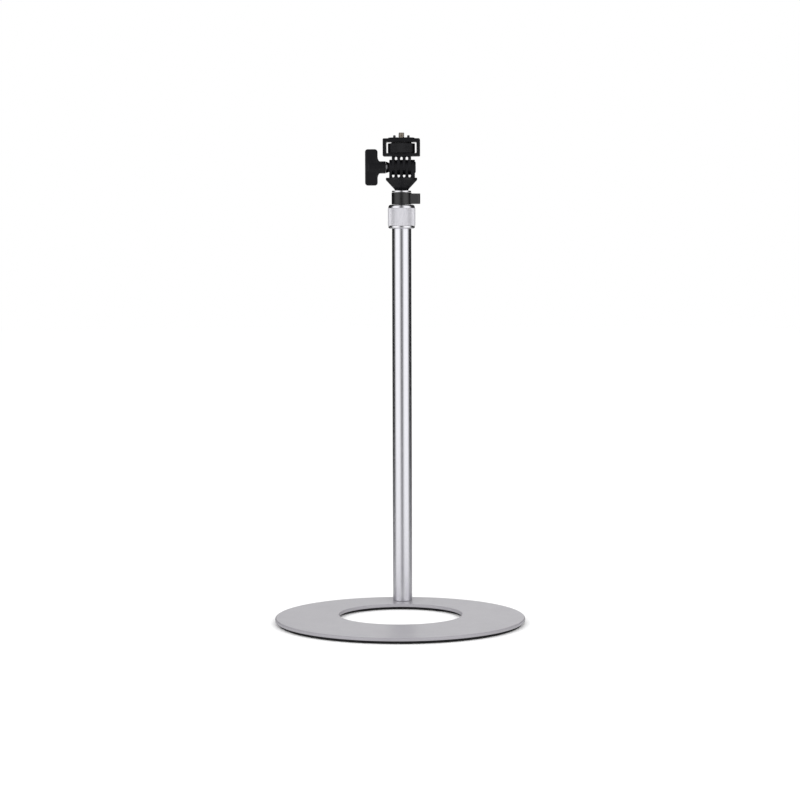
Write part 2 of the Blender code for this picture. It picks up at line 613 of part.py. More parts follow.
def build_knob(materials, pan):
    """Makes the T-handled knob with its threaded nut and the ferrule in front of it."""
    outwards = (0, -math.pi / 2, 0)
    axis = make_axis("knob_axis", (0, 0, AXIS_HEIGHT), pan)
    ferrule = turn_profile([
        (BOLT_BORE_RADIUS, KNOB_FERRULE_START), (KNOB_FERRULE_LOW_RADIUS, KNOB_FERRULE_START),
        (KNOB_FERRULE_HIGH_RADIUS, KNOB_START - GAP), (BOLT_BORE_RADIUS, KNOB_START - GAP),
    ], HIDDEN_FACES, closed=True)
    add_object("knob_ferrule", ferrule, materials["dark_steel"], axis, rotation=outwards)

    bore = KNOB_NUT_RADIUS + GAP
    bore_end = KNOB_START + KNOB_BORE_DEPTH
    hub_end = WING_END - HUB_INSET
    hub = turn_profile([
        (0, bore_end), (bore, bore_end), (bore, KNOB_START), (KNOB_HUB_RADIUS - GAP, KNOB_START),
        (KNOB_HUB_RADIUS, KNOB_START + GAP), (KNOB_HUB_RADIUS, hub_end - 2 * GAP),
        (KNOB_HUB_RADIUS - 2 * GAP, hub_end), (0, hub_end),
    ], SMALL_FACES)
    knob = add_object("tilt_knob", hub, materials["black"], axis, rotation=outwards)
    handle = extrude_outline(knob_outline(), WING_DEPTH)
    bevel_edges(handle, lambda edge: abs(edge.verts[0].co.z - edge.verts[1].co.z) < GAP
                and min(vert.co.y for vert in edge.verts) > WING_START - GAP, WING_EDGE)
    wings = add_object("knob_wings", handle, parent=axis, rotation=(0, -math.pi / 2, 0))
    wings.data.transform(Matrix.Rotation(math.pi / 2, 4, "X"))
    combine(knob, wings, "UNION")
    room = make_rod(bore, KNOB_START - OVER, bore_end)
    combine(knob, add_object("knob_bore", room, parent=axis, rotation=outwards))
    nut = make_sleeve(KNOB_NUT_RADIUS, BOLT_BORE_RADIUS, KNOB_START, KNOB_START + KNOB_NUT_LENGTH,
                      HIDDEN_FACES)
    add_object("knob_nut", nut, materials["brass"], axis, rotation=outwards)


def build_cradle(materials, tilt):
    """Makes the upper fingers with the frame, the seat pad and the two pins."""
    upright = (math.pi / 2, 0, 0)
    low_corner = FRAME_CORNER / 2
    outline = round_corners([
        (-FRAME_HALF_WIDTH, FRAME_BOTTOM, low_corner), (FRAME_HALF_WIDTH, FRAME_BOTTOM, low_corner),
        (FRAME_HALF_WIDTH, FRAME_TOP, FRAME_CORNER), (-FRAME_HALF_WIDTH, FRAME_TOP, FRAME_CORNER),
    ])
    frame_shape = extrude_outline(outline, FRAME_DEPTH)
    frame = add_object("hinge_top", frame_shape, materials["black"], tilt, rotation=upright)
    window_outline = round_corners([
        (-WINDOW_HALF_WIDTH, WINDOW_BOTTOM, WINDOW_CORNER), (WINDOW_HALF_WIDTH, WINDOW_BOTTOM, WINDOW_CORNER),
        (WINDOW_HALF_WIDTH, WINDOW_TOP, WINDOW_CORNER), (-WINDOW_HALF_WIDTH, WINDOW_TOP, WINDOW_CORNER),
    ])
    window = extrude_outline(window_outline, FRAME_DEPTH + 2 * OVER)
    combine(frame, add_object("frame_window", window, parent=tilt, rotation=upright))
    block = extrude_outline(comb_outline(FRAME_BOTTOM + FRAME_FLOOR / 2), 2 * UPPER_HALF_WIDTH)
    across = (math.pi / 2, 0, math.pi / 2)
    combine(frame, add_object("top_comb", block, parent=tilt, rotation=across), "UNION")
    for index in range(UPPER_COUNT - 1):
        x = (index - (UPPER_COUNT - 2) / 2) * FINGER_PITCH
        slot = slot_tool(UPPER_SLOT_WIDTH, UPPER_SLOT_ROOT_WIDTH, FRAME_BOTTOM - FINGER_WEB,
                         KNUCKLE_RADIUS + GAP, -KNUCKLE_RADIUS - OVER)
        combine(frame, add_object(f"top_slot_{index}", slot, parent=tilt, location=(x, 0, 0),
                                  rotation=upright))
    hole = make_rod(BOLT_BORE_RADIUS, -COMB_HALF_WIDTH, COMB_HALF_WIDTH)
    combine(frame, add_object("top_bolt_hole", hole, parent=tilt, rotation=(0, math.pi / 2, 0)))
    passage = turn_profile([
        (0, FRAME_BOTTOM - OVER), (SCREW_PILOT_RADIUS + GAP, FRAME_BOTTOM - OVER),
        (SCREW_PILOT_RADIUS + GAP, WHEEL_BOTTOM), (SCREW_BORE_RADIUS, WHEEL_BOTTOM),
        (SCREW_BORE_RADIUS, FRAME_TOP + OVER), (0, FRAME_TOP + OVER),
    ], HIDDEN_FACES)
    combine(frame, add_object("screw_passage", passage, parent=tilt))

    half_width = SEAT_PAD_WIDTH / 2
    half_depth = FRAME_DEPTH / 2 - SEAT_PAD_MARGIN
    pad_shape = extrude_outline(round_corners([
        (-half_width, -half_depth, SEAT_PAD_CORNER), (half_width, -half_depth, SEAT_PAD_CORNER),
        (half_width, half_depth, SEAT_PAD_CORNER), (-half_width, half_depth, SEAT_PAD_CORNER),
    ], 4), SEAT_PAD_THICKNESS)
    bevel_edges(pad_shape, lambda edge: min(vert.co.z for vert in edge.verts) > 0, SEAT_PAD_EDGE)
    pad_middle = (SEAT_PAD_BOTTOM + SEAT_PAD_TOP) / 2
    pad = add_object("seat_pad", pad_shape, materials["rubber"], tilt, (0, 0, pad_middle))
    combine(pad, add_object("pad_screw_hole", make_rod(SCREW_BORE_RADIUS, FRAME_TOP, SCREW_TOP), parent=tilt))
    pin_low = FRAME_TOP - PIN_DEPTH
    pin_high = SEAT_PAD_TOP + PIN_REACH
    for side, x in (("left", -PIN_SPACING / 2), ("right", PIN_SPACING / 2)):
        room = make_rod(PIN_RADIUS + GAP, pin_low - GAP, pin_high, PIN_FACES)
        tool = add_object(f"pin_room_{side}", room, parent=tilt, location=(x, 0, 0))
        combine(frame, tool)
        combine(pad, tool)
        pin = turn_profile([(0, pin_low), (PIN_RADIUS - GAP, pin_low), (PIN_RADIUS, pin_low + GAP),
                            (PIN_RADIUS, SEAT_PAD_TOP), (PIN_TIP_RADIUS, pin_high), (0, pin_high)], PIN_FACES)
        add_object(f"seat_pin_{side}", pin, materials["steel_black"], tilt, (x, 0, 0))


def build_wheel(materials, tilt):
    """Makes the thumbwheel, its thrust washer and the threaded screw that it drives."""
    axis = make_axis("wheel_axis", (0, 0, WHEEL_BOTTOM), tilt)
    wheel = turn_profile([
        (SCREW_BORE_RADIUS, 0), (WHEEL_RADIUS - WHEEL_CHAMFER, 0), (WHEEL_RADIUS, WHEEL_CHAMFER),
        (WHEEL_RADIUS, WHEEL_HEIGHT - WHEEL_CHAMFER), (WHEEL_RADIUS - WHEEL_CHAMFER, WHEEL_HEIGHT),
        (SCREW_BORE_RADIUS, WHEEL_HEIGHT),
    ], 2 * WHEEL_RIDGES, closed=True)
    knurl(wheel, WHEEL_RIDGES, WHEEL_KNURL_DEPTH, WHEEL_CHAMFER / 2, WHEEL_HEIGHT - WHEEL_CHAMFER / 2,
          WHEEL_RADIUS - WHEEL_CHAMFER / 2)
    add_object("thumbwheel", wheel, materials["black"], axis)
    washer_low = WHEEL_HEIGHT + GAP
    washer = make_sleeve(SCREW_BORE_RADIUS + THRUST_WASHER_WALL, SCREW_BORE_RADIUS, washer_low,
                         washer_low + THRUST_WASHER_THICKNESS, HIDDEN_FACES)
    add_object("thrust_washer", washer, materials["nylon"], axis)

    top = SCREW_TOP - WHEEL_BOTTOM
    thread_low = WHEEL_HEIGHT
    ring_step = SCREW_PITCH / 4
    ring_count = int((top - SCREW_THREAD_DEPTH - thread_low) / ring_step)
    pilot_low = FRAME_BOTTOM - WHEEL_BOTTOM + GAP
    profile = [(0, pilot_low), (SCREW_PILOT_RADIUS, pilot_low), (SCREW_PILOT_RADIUS, 0), (SCREW_RADIUS, 0)]
    profile += [(SCREW_RADIUS, thread_low + ring_step * step) for step in range(ring_count + 1)]
    profile += [(SCREW_RADIUS - SCREW_THREAD_DEPTH, top), (0, top)]
    screw = turn_profile(profile, SCREW_FACES)
    for vert in screw.verts:
        reach = math.hypot(vert.co.x, vert.co.y)
        if reach > SCREW_RADIUS - GAP / 2 and vert.co.z > thread_low + ring_step / 2:
            turns = vert.co.z / SCREW_PITCH - math.atan2(vert.co.y, vert.co.x) / (2 * math.pi)
            groove = SCREW_THREAD_DEPTH * abs(2 * (turns % 1) - 1)
            vert.co.xy *= (reach - groove) / reach
    add_object("light_screw", screw, materials["brass"], axis)


def main():
    """Builds the whole stand."""
    clear_scene()
    materials = {
        "plate": make_material("silver_paint", (0.47, 0.47, 0.49), 0.42, 0.55),
        "polished": make_material("polished_aluminium", (0.78, 0.78, 0.80), 0.18, 1.0),
        "knurled": make_material("satin_knurl", (0.70, 0.70, 0.72), 0.45, 1.0),
        "aluminium": make_material("plain_aluminium", (0.62, 0.62, 0.64), 0.40, 1.0),
        "black": make_material("black_nylon", (0.016, 0.016, 0.018), 0.42, 0.0),
        "rubber": make_material("black_rubber", (0.010, 0.010, 0.010), 0.80, 0.0),
        "nylon": make_material("natural_nylon", (0.62, 0.61, 0.57), 0.50, 0.0),
        "steel": make_material("plated_steel", (0.45, 0.45, 0.46), 0.35, 1.0),
        "dark_steel": make_material("dark_steel", (0.16, 0.16, 0.17), 0.35, 1.0),
        "steel_black": make_material("blackened_steel", (0.03, 0.03, 0.03), 0.45, 1.0),
        "brass": make_material("dull_brass", (0.52, 0.42, 0.28), 0.35, 1.0),
    }
    build_base(materials)
    pole = make_axis("pole_axis", (0, POLE_Y, PLATE_TOP))
    build_pole(materials, pole)
    build_collar(materials, pole)
    mast = make_axis("mast_axis", (0, 0, COLLAR_TOP), pole)
    build_mast(materials, mast)
    build_lever(materials, mast)
    pan = make_axis("pan_axis", (0, 0, HEAD_BOTTOM), mast)
    build_head(materials, pan)
    build_knob(materials, pan)
    tilt = make_axis("tilt_axis", (0, 0, AXIS_HEIGHT), pan)
    build_cradle(materials, tilt)
    build_wheel(materials, tilt)


main()
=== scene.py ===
"""Looks of the desk light stand: its fine pieces, their finishes and the studio.

Lengths are metres and angles degrees, in the frame's own axes: +Z up, +Y to the rear, where the
pole stands, and +X to the side of the lever's tab. Each piece is modelled about its own axis and
then set in place, so that its finished mesh lies where the node lies that it stands for.
"""
import json
import logging
import math
from collections.abc import Callable, Iterator, Sequence
from contextlib import contextmanager
from dataclasses import dataclass, field
from enum import Enum, IntEnum
from functools import cache

import bmesh
import bpy
from mathutils import Matrix, Vector


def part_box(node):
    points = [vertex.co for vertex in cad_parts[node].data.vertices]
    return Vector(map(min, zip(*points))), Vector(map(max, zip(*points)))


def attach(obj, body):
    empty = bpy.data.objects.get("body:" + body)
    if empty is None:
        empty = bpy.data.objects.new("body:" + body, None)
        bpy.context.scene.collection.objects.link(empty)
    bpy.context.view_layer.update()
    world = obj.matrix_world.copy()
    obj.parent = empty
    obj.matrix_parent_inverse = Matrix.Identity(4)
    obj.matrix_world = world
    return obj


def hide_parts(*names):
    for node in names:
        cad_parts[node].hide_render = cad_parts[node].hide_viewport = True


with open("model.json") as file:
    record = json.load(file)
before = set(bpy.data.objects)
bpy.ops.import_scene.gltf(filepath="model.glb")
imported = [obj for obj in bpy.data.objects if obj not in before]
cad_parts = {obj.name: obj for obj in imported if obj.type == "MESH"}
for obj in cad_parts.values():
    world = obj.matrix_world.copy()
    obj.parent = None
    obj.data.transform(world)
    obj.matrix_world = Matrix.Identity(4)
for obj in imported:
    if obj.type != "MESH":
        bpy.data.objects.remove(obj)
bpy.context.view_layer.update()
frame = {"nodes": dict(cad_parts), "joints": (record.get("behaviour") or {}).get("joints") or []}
LOG = logging.getLogger("desk_light_stand")

Place = tuple[float, float, float] | Vector
Colour = tuple[float, float, float]
Profile = Sequence[tuple[float, float]]
Stops = tuple[tuple[float, float], ...]

WHITE = (1, 1, 1, 1)

# Play between two pieces that touch. It also serves as the smallest chamfer and as the slack in picking
GAP = 0.0003
# Slack in picking the corners that lie on one plane
HAIR = GAP / 10
# How far a cutter runs past the face that it cuts
OVER = 0.002
# Turn that brings the corners of the bolt's head to its top and bottom
UPRIGHT = (0, 0, 30)
# Faces from one pressed ridge to the next
RIDGE_COLUMNS = 8
# Two faces that meet at more than this angle, in radians, make a corner
SHARP = 1
# A face looks up when the Z of its normal is more than this
UPWARD = 0.9
# How far the collar's satin band ends above its foot and below its top
BAND_ENDS = (0.0006, 0.0034)


class Body(Enum):
    """The groups of pieces that move together."""

    STAND = "stand"
    COLLAR = "collar"
    MAST = "mast"
    LEVER = "lever"
    HEAD = "head"
    KNOB = "knob"
    CRADLE = "cradle"
    WHEEL = "wheel"


class Slot(Enum):
    """The record's material slots."""

    PAINT = "silver_paint"
    POLISHED = "polished_aluminium"
    KNURLED = "satin_knurl"
    TURNED = "plain_aluminium"
    BLACK = "black_nylon"
    RUBBER = "black_rubber"
    NATURAL = "natural_nylon"
    PLATED = "plated_steel"
    DARK = "dark_steel"
    BLACKENED = "blackened_steel"
    BRASS = "dull_brass"


class Cut(Enum):
    """What a tool shape does to a piece."""

    REMOVE = "DIFFERENCE"
    JOIN = "UNION"
    KEEP = "INTERSECT"


class Part(Enum):
    """What is picked in edit mode."""

    VERTS = "VERT"
    EDGES = "EDGE"
    FACES = "FACE"


class Facets(IntEnum):
    """Faces round a full turn, by what is turned."""

    HEXAGON = 6
    PIN_ROOM = 32
    PIN = 40
    BORE = 48
    ROD = 64
    RIM = 96
    BODY = 128
    MAST = 160
    POLE = 192
    RING = 224


class Relief(Enum):
    """Kinds of fine surface structure."""

    GRAIN = "fine_grain"
    DRAWN = "drawn_lines"
    TURNED = "turning_lines"
    FLAKE = "metal_flake"


@dataclass(frozen=True)
class Span:
    """The box that a node of the frame takes up."""

    low: Vector
    high: Vector

    @classmethod
    def of(cls, node: str) -> "Span":
        """Returns a node's box at rest."""
        return cls(*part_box(node))

    @property
    def centre(self) -> Vector:
        """Returns the box's middle."""
        return (self.low + self.high) / 2

    @property
    def size(self) -> Vector:
        """Returns the box's three lengths."""
        return self.high - self.low

    @property
    def radius(self) -> float:
        """Returns half the box's width along X."""
        return self.size.x / 2


def span_of(node: str) -> Span:
    """Returns a dataclass field that holds a node's box."""
    return field(default_factory=lambda: Span.of(node))


def arc(centre: tuple[float, float], radii: tuple[float, float], start: float, stop: float,
        steps: int) -> list[tuple[float, float]]:
    """Works out points along a part of an ellipse.

    Args:
        centre: The ellipse's middle.
        radii: Its half widths along the two axes.
        start: Angle of the first point, in degrees.
        stop: Angle of the last point.
        steps: How many stretches lie between them.

    Returns:
        The points, both ends among them.
    """
    turns = [math.radians(start + (stop - start) * step / steps) for step in range(steps + 1)]
    return [(centre[0] + radii[0] * math.cos(turn), centre[1] + radii[1] * math.sin(turn)) for turn in turns]


def run(edge: bmesh.types.BMEdge, axis: str) -> float:
    """Returns how far an edge runs along x, y or z."""
    first, last = (getattr(vert.co, axis) for vert in edge.verts)
    return abs(first - last)


class NodeBoard:
    """A node tree that is wired by short calls."""

    def __init__(self, tree: bpy.types.NodeTree) -> None:
        """Takes the tree that nodes are added to."""
        self.tree = tree

    def add(self, kind: str, inputs: dict | None = None, **settings: object) -> bpy.types.Node:
        """Adds a node.

        Args:
            kind: The node's type without its common prefix.
            inputs: A value or an output socket for each named input.
            **settings: The node's own properties.

        Returns:
            The new node.
        """
        node = self.tree.nodes.new("ShaderNode" + kind)
        for name, value in settings.items():
            setattr(node, name, value)
        for name, value in (inputs or {}).items():
            if isinstance(value, bpy.types.NodeSocket):
                self.tree.links.new(value, node.inputs[name])
            else:
                node.inputs[name].default_value = value
        return node

    def math(self, operation: str, first: object, second: object = 0.0) -> bpy.types.NodeSocket:
        """Adds a Math node and returns its result."""
        return self.add("Math", {0: first, 1: second}, operation=operation).outputs[0]

    def own_place(self) -> bpy.types.NodeSocket:
        """Returns the place on the piece, in the piece's own axes."""
        return self.add("TexCoord").outputs["Object"]

    def noise(self, place: object, scale: object, detail: float, roughness: float = 0.5,
              distortion: float = 0.0) -> bpy.types.NodeSocket:
        """Adds a noise.

        Args:
            place: Where it is read.
            scale: How fine it is.
            detail: How many finer layers it has.
            roughness: How strong the finer layers are.
            distortion: How far it is stirred.

        Returns:
            The noise's level.
        """
        return self.add("TexNoise", {"Vector": place, "Scale": scale, "Detail": detail,
                                     "Roughness": roughness, "Distortion": distortion}).outputs[0]

    def spread(self, value: object, source: tuple, target: tuple) -> bpy.types.NodeSocket:
        """Maps a value from one range to another, held at the ends, and returns the result."""
        return self.add("MapRange", {"Value": value, "From Min": source[0], "From Max": source[1],
                                     "To Min": target[0], "To Max": target[1]}).outputs["Result"]

    def ramp(self, value: object, stops: Stops) -> bpy.types.NodeSocket:
        """Adds a grey colour ramp.

        Args:
            value: What the ramp reads, from 0 to 1.
            stops: Position and level of each stop.

        Returns:
            The ramp's colour.
        """
        node = self.add("ValToRGB", {"Fac": value})
        elements = node.color_ramp.elements
        while len(elements) < len(stops):
            elements.new(1.0)
        for element, (position, level) in zip(elements, stops):
            element.position = position
            element.color = (level, level, level, 1.0)
        return node.outputs["Color"]

    def blend(self, share: object, first: object, second: object,
              kind: str = "MIX") -> bpy.types.NodeSocket:
        """Adds a colour Mix node and returns its colour."""
        return self.add("Mix", {0: share, 6: first, 7: second}, data_type="RGBA", blend_type=kind).outputs[2]


class Surface:
    """Fine surface structure that several finishes share, each kind one node group."""

    built: dict[str, bpy.types.NodeTree] = {}
    # The middle of a noise's range, which is spread over the whole of a height or a mask
    noise_core: tuple[float, float] = (0.35, 0.65)
    # Shrinks the heights on a drawn tube, so that a noise runs into upright lines
    drawing: tuple[float, float, float] = (1.0, 1.0, 0.004)
    # Size of the swell of sprayed paint, and how far a flake's own level stands out of it
    swell_scale: float = 420.0
    flake_share: float = 0.06
    # Range of pointiness over which an edge is rubbed bare
    rubbed_edges: tuple[float, float] = (0.52, 0.62)
    # Range of the noise that breaks the rubbing up, and the share that is left where it is least
    rubbed_core: tuple[float, float] = (0.4, 0.6)
    least_rubbed: float = 0.2
    # Range of a relief's tone that is spread over the whole wander of a colour
    tone_core: tuple[float, float] = (0.2, 0.8)

    @classmethod
    def group(cls, name: str) -> bpy.types.NodeTree:
        """Returns a group, and makes it the first time.

        Args:
            name: The group's name, which is also that of the method that makes it.

        Returns:
            The group.
        """
        if name not in cls.built:
            tree = bpy.data.node_groups.new(name, "ShaderNodeTree")
            cls.built[name] = tree
            getattr(cls, name)(tree, NodeBoard(tree))
        return cls.built[name]

    @staticmethod
    def sockets(tree: bpy.types.NodeTree, inputs: dict[str, float],
                outputs: Sequence[str]) -> tuple[bpy.types.Node, bpy.types.Node]:
        """Gives a group its sockets.

        Args:
            tree: The group.
            inputs: Name and first value of each number that goes in.
            outputs: Name of each number that comes out.

        Returns:
            The group's input node and output node.
        """
        for name, value in inputs.items():
            socket = tree.interface.new_socket(name, in_out="INPUT", socket_type="NodeSocketFloat")
            socket.default_value = value
        for name in outputs:
            tree.interface.new_socket(name, in_out="OUTPUT", socket_type="NodeSocketFloat")
        return tree.nodes.new("NodeGroupInput"), tree.nodes.new("NodeGroupOutput")

    @classmethod
    def fine_grain(cls, tree: bpy.types.NodeTree, board: NodeBoard) -> None:
        """Makes the grain of moulded plastic, rubber or blasted metal.

        Args:
            tree: The group.
            board: The group's board.
        """
        source, result = cls.sockets(tree, {"Scale": 2500.0}, ("Tone", "Height"))
        place = board.own_place()
        fine = board.noise(place, source.outputs["Scale"], detail=3.0, roughness=0.6)
        tree.links.new(fine, result.inputs["Tone"])
        tree.links.new(board.spread(fine, cls.noise_core, (0.0, 1.0)), result.inputs["Height"])

    @classmethod
    def drawn_lines(cls, tree: bpy.types.NodeTree, board: NodeBoard) -> None:
        """Makes the faint lines that run along a drawn tube.

        Args:
            tree: The group.
            board: The group's board.
        """
        source, result = cls.sockets(tree, {"Scale": 2500.0}, ("Tone", "Height"))
        place = board.own_place()
        stretched = board.add("VectorMath", {0: place, 1: cls.drawing}, operation="MULTIPLY").outputs[0]
        lines = board.noise(stretched, source.outputs["Scale"], detail=2.0, roughness=0.7)
        tree.links.new(lines, result.inputs["Tone"])
        tree.links.new(lines, result.inputs["Height"])

    @classmethod
    def turning_lines(cls, tree: bpy.types.NodeTree, board: NodeBoard) -> None:
        """Makes the fine rings that a lathe leaves round an upright axis.

        Args:
            tree: The group.
            board: The group's board.
        """
        source, result = cls.sockets(tree, {"Scale": 2500.0}, ("Tone", "Height"))
        place = board.own_place()
        axis = (0.0, POLE_AXIS.y, 0.0)
        centred = board.add("VectorMath", {0: place, 1: axis}, operation="SUBTRACT").outputs[0]
        sideways, forwards, upwards = board.add("SeparateXYZ", {0: centred}).outputs
        reach = board.math("SQRT", board.math("ADD", board.math("MULTIPLY", sideways, sideways),
                                              board.math("MULTIPLY", forwards, forwards)))
        rings = board.add("CombineXYZ", {0: reach, 1: 0.0, 2: upwards}).outputs[0]
        lines = board.noise(rings, source.outputs["Scale"], detail=2.0, roughness=0.6)
        tree.links.new(lines, result.inputs["Tone"])
        tree.links.new(lines, result.inputs["Height"])

    @classmethod
    def metal_flake(cls, tree: bpy.types.NodeTree, board: NodeBoard) -> None:
        """Makes the flakes of metallic paint and the slight swell of its surface.

        Args:
            tree: The group.
            board: The group's board.
        """
        source, result = cls.sockets(tree, {"Scale": 2500.0}, ("Tone", "Height"))
        place = board.own_place()
        cells = board.add("TexVoronoi", {"Vector": place, "Scale": source.outputs["Scale"]})
        swell = board.noise(place, cls.swell_scale, detail=1.0)
        tone = board.add("SeparateColor", {0: cells.outputs["Color"]}).outputs[0]
        tree.links.new(tone, result.inputs["Tone"])
        raised = board.math("MULTIPLY", tone, cls.flake_share)
        tree.links.new(board.math("ADD", swell, raised), result.inputs["Height"])

    @classmethod
    def handling(cls, tree: bpy.types.NodeTree, board: NodeBoard) -> None:
        """Makes the slow wander of gloss that hands and wiping leave.

        Args:
            tree: The group.
            board: The group's board.
        """
        source, result = cls.sockets(tree, {"Scale": 60.0}, ("Tone",))
        place = board.own_place()
        slow = board.noise(place, source.outputs["Scale"], detail=5.0, roughness=0.55, distortion=0.4)
        tree.links.new(board.spread(slow, cls.noise_core, (0.0, 1.0)), result.inputs["Tone"])

    @classmethod
    def edge_wear(cls, tree: bpy.types.NodeTree, board: NodeBoard) -> None:
        """Makes a mask of the outer edges, broken up where they are rubbed less.

        Args:
            tree: The group.
            board: The group's board.
        """
        source, result = cls.sockets(tree, {"Scale": 400.0}, ("Mask",))
        place = board.own_place()
        rubbed = board.noise(place, source.outputs["Scale"], detail=4.0)
        sharp = board.spread(board.add("NewGeometry").outputs["Pointiness"], cls.rubbed_edges, (0.0, 1.0))
        left = board.spread(rubbed, cls.rubbed_core, (cls.least_rubbed, 1.0))
        mask = board.math("MULTIPLY", sharp, left)
        tree.links.new(mask, result.inputs["Mask"])


@dataclass(frozen=True)
class Finish:
    """How one of the stand's materials looks, in the words of the sheet that its maker would write."""

    name: str
    slot: Slot
    colour: Colour
    gloss: tuple[float, float]
    metallic: float = 0.0
    specular: float = 0.5
    relief: Relief = Relief.GRAIN
    scale: float = 2500.0
    height: float = 0.00002
    wander: float = 0.05
    rubbed: float = 1.0
    drawn_out: float = 0.0
    drawn_turn: float = 0.25
    bump_strength: float = 0.5

    @cache
    def material(self) -> bpy.types.Material:
        """Makes the finish as a material, once.

        Returns:
            The material.
        """
        material = bpy.data.materials.new(self.name)
        material.use_nodes = True
        board = NodeBoard(material.node_tree)
        shader = material.node_tree.nodes["Principled BSDF"]
        shader.inputs["Metallic"].default_value = self.metallic
        shader.inputs["Specular IOR Level"].default_value = self.specular
        shader.inputs["Anisotropic"].default_value = self.drawn_out
        shader.inputs["Anisotropic Rotation"].default_value = self.drawn_turn
        relief = board.add("Group", node_tree=Surface.group(self.relief.value))
        relief.inputs["Scale"].default_value = self.scale
        handled = board.add("Group", node_tree=Surface.group("handling")).outputs["Tone"]
        worn = board.add("Group", node_tree=Surface.group("edge_wear")).outputs["Mask"]
        wander = (1 - self.wander, 1 + self.wander)
        tone = board.spread(relief.outputs["Tone"], Surface.tone_core, wander)
        tint = board.add("CombineColor", {0: tone, 1: tone, 2: tone}).outputs[0]
        plain = board.blend(1.0, (*self.colour, 1.0), tint, "MULTIPLY")
        bright = tuple(min(1.0, part * self.rubbed) for part in self.colour)
        colour = board.blend(worn, plain, (*bright, 1.0))
        rough = self.roughness(board, handled)
        bump = board.add("Bump", {"Strength": self.bump_strength, "Distance": self.height,
                                  "Height": relief.outputs["Height"]})
        for name, value in (("Base Color", colour), ("Roughness", rough), ("Normal", bump.outputs[0])):
            material.node_tree.links.new(value, shader.inputs[name])
        return material

    def roughness(self, board: NodeBoard, handled: bpy.types.NodeSocket) -> bpy.types.NodeSocket:
        """Returns the roughness, which wanders with handling."""
        return board.spread(handled, (0.0, 1.0), self.gloss)


@dataclass(frozen=True)
class BandedFinish(Finish):
    """A finish with a satin band between two heights, polished above and below it."""

    band: tuple[float, float] = (0.0, 1.0)
    polish: float = 0.12
    blend: float = 0.0002

    def roughness(self, board: NodeBoard, handled: bpy.types.NodeSocket) -> bpy.types.NodeSocket:
        """Makes the roughness, which falls outside the band.

        Args:
            board: The material's board.
            handled: The wander that handling leaves.

        Returns:
            The roughness.
        """
        satin = board.spread(handled, (0.0, 1.0), self.gloss)
        height = board.add("SeparateXYZ", {0: board.own_place()}).outputs[2]
        low, high = self.band
        above = board.spread(height, (high - self.blend, high), (0.0, 1.0))
        below = board.spread(height, (low, low + self.blend), (1.0, 0.0))
        outside = board.math("MAXIMUM", above, below)
        return board.math("ADD", board.math("MULTIPLY", satin, board.math("SUBTRACT", 1.0, outside)),
                          board.math("MULTIPLY", outside, self.polish))


POLE_AXIS = Span.of("outer_tube").centre
TILT_AXIS = Vector(next(joint["pos_m"] for joint in frame["joints"] if joint["name"] == "head_tilt"))

SILVER_PAINT = Finish("silver_lacquer", Slot.PAINT, (0.350, 0.340, 0.366), (0.33, 0.36), metallic=0.08,
                      relief=Relief.FLAKE, scale=2200.0, height=0.000012, wander=0.05, rubbed=1.1)
POLISHED = Finish("bright_polish", Slot.POLISHED, (0.868, 0.864, 0.915), (0.18, 0.22), metallic=1.0,
                  relief=Relief.DRAWN, scale=2600.0, height=0.0000012, wander=0.012, rubbed=1.02,
                  drawn_out=0.95)
MIRROR_POLISH = Finish("mirror_polish", Slot.POLISHED, (0.875, 0.87, 0.905), (0.10, 0.15), metallic=1.0,
                       relief=Relief.TURNED, scale=3200.0, height=0.0000012, wander=0.012, rubbed=1.02)
KNURLED = BandedFinish("knurl_and_crown", Slot.KNURLED, (0.828, 0.82, 0.864), (0.30, 0.39), metallic=1.0,
                       relief=Relief.GRAIN, scale=5200.0, height=0.00001, wander=0.05, rubbed=1.08,
                       band=(Span.of("twist_collar").low.z + BAND_ENDS[0],
                             Span.of("twist_collar").high.z - BAND_ENDS[1]))
TURNED = Finish("turned_metal", Slot.TURNED, (0.66, 0.66, 0.68), (0.28, 0.38), metallic=1.0,
                relief=Relief.TURNED, scale=3800.0, height=0.000008, wander=0.04)
BLACK_NYLON = Finish("moulded_nylon", Slot.BLACK, (0.0058, 0.0058, 0.0072), (0.30, 0.40), specular=0.25,
                     relief=Relief.GRAIN, scale=3000.0, height=0.000022, wander=0.12, rubbed=1.8)
GLOSSY_NYLON = Finish("glossy_nylon", Slot.BLACK, (0.0032, 0.0032, 0.0042), (0.27, 0.34), specular=0.72,
                      relief=Relief.TURNED, scale=2200.0, height=0.000012, wander=0.12, rubbed=1.8)
RUBBER = Finish("soft_rubber", Slot.RUBBER, (0.010, 0.010, 0.0105), (0.72, 0.86), specular=0.35,
                relief=Relief.GRAIN, scale=2200.0, height=0.00003, wander=0.15, rubbed=1.3)
NATURAL_NYLON = Finish("pale_nylon", Slot.NATURAL, (0.62, 0.61, 0.57), (0.42, 0.52), wander=0.03)
PLATED_STEEL = Finish("zinc_plating", Slot.PLATED, (0.48, 0.48, 0.50), (0.22, 0.34), metallic=1.0,
                      relief=Relief.TURNED, scale=3200.0, height=0.000006, wander=0.04)
DARK_STEEL = Finish("dark_plating", Slot.DARK, (0.17, 0.17, 0.18), (0.24, 0.34), metallic=1.0,
                    height=0.000006, rubbed=1.6)
BLACKENED = Finish("blackening", Slot.BLACKENED, (0.030, 0.030, 0.032), (0.34, 0.46), metallic=0.6,
                   height=0.00001, wander=0.1, rubbed=2.5)
DULL_BRASS = Finish("worn_brass", Slot.BRASS, (0.54, 0.485, 0.42), (0.30, 0.44), metallic=1.0,
                    relief=Relief.GRAIN, scale=2600.0, height=0.00001, wander=0.10, rubbed=1.3)


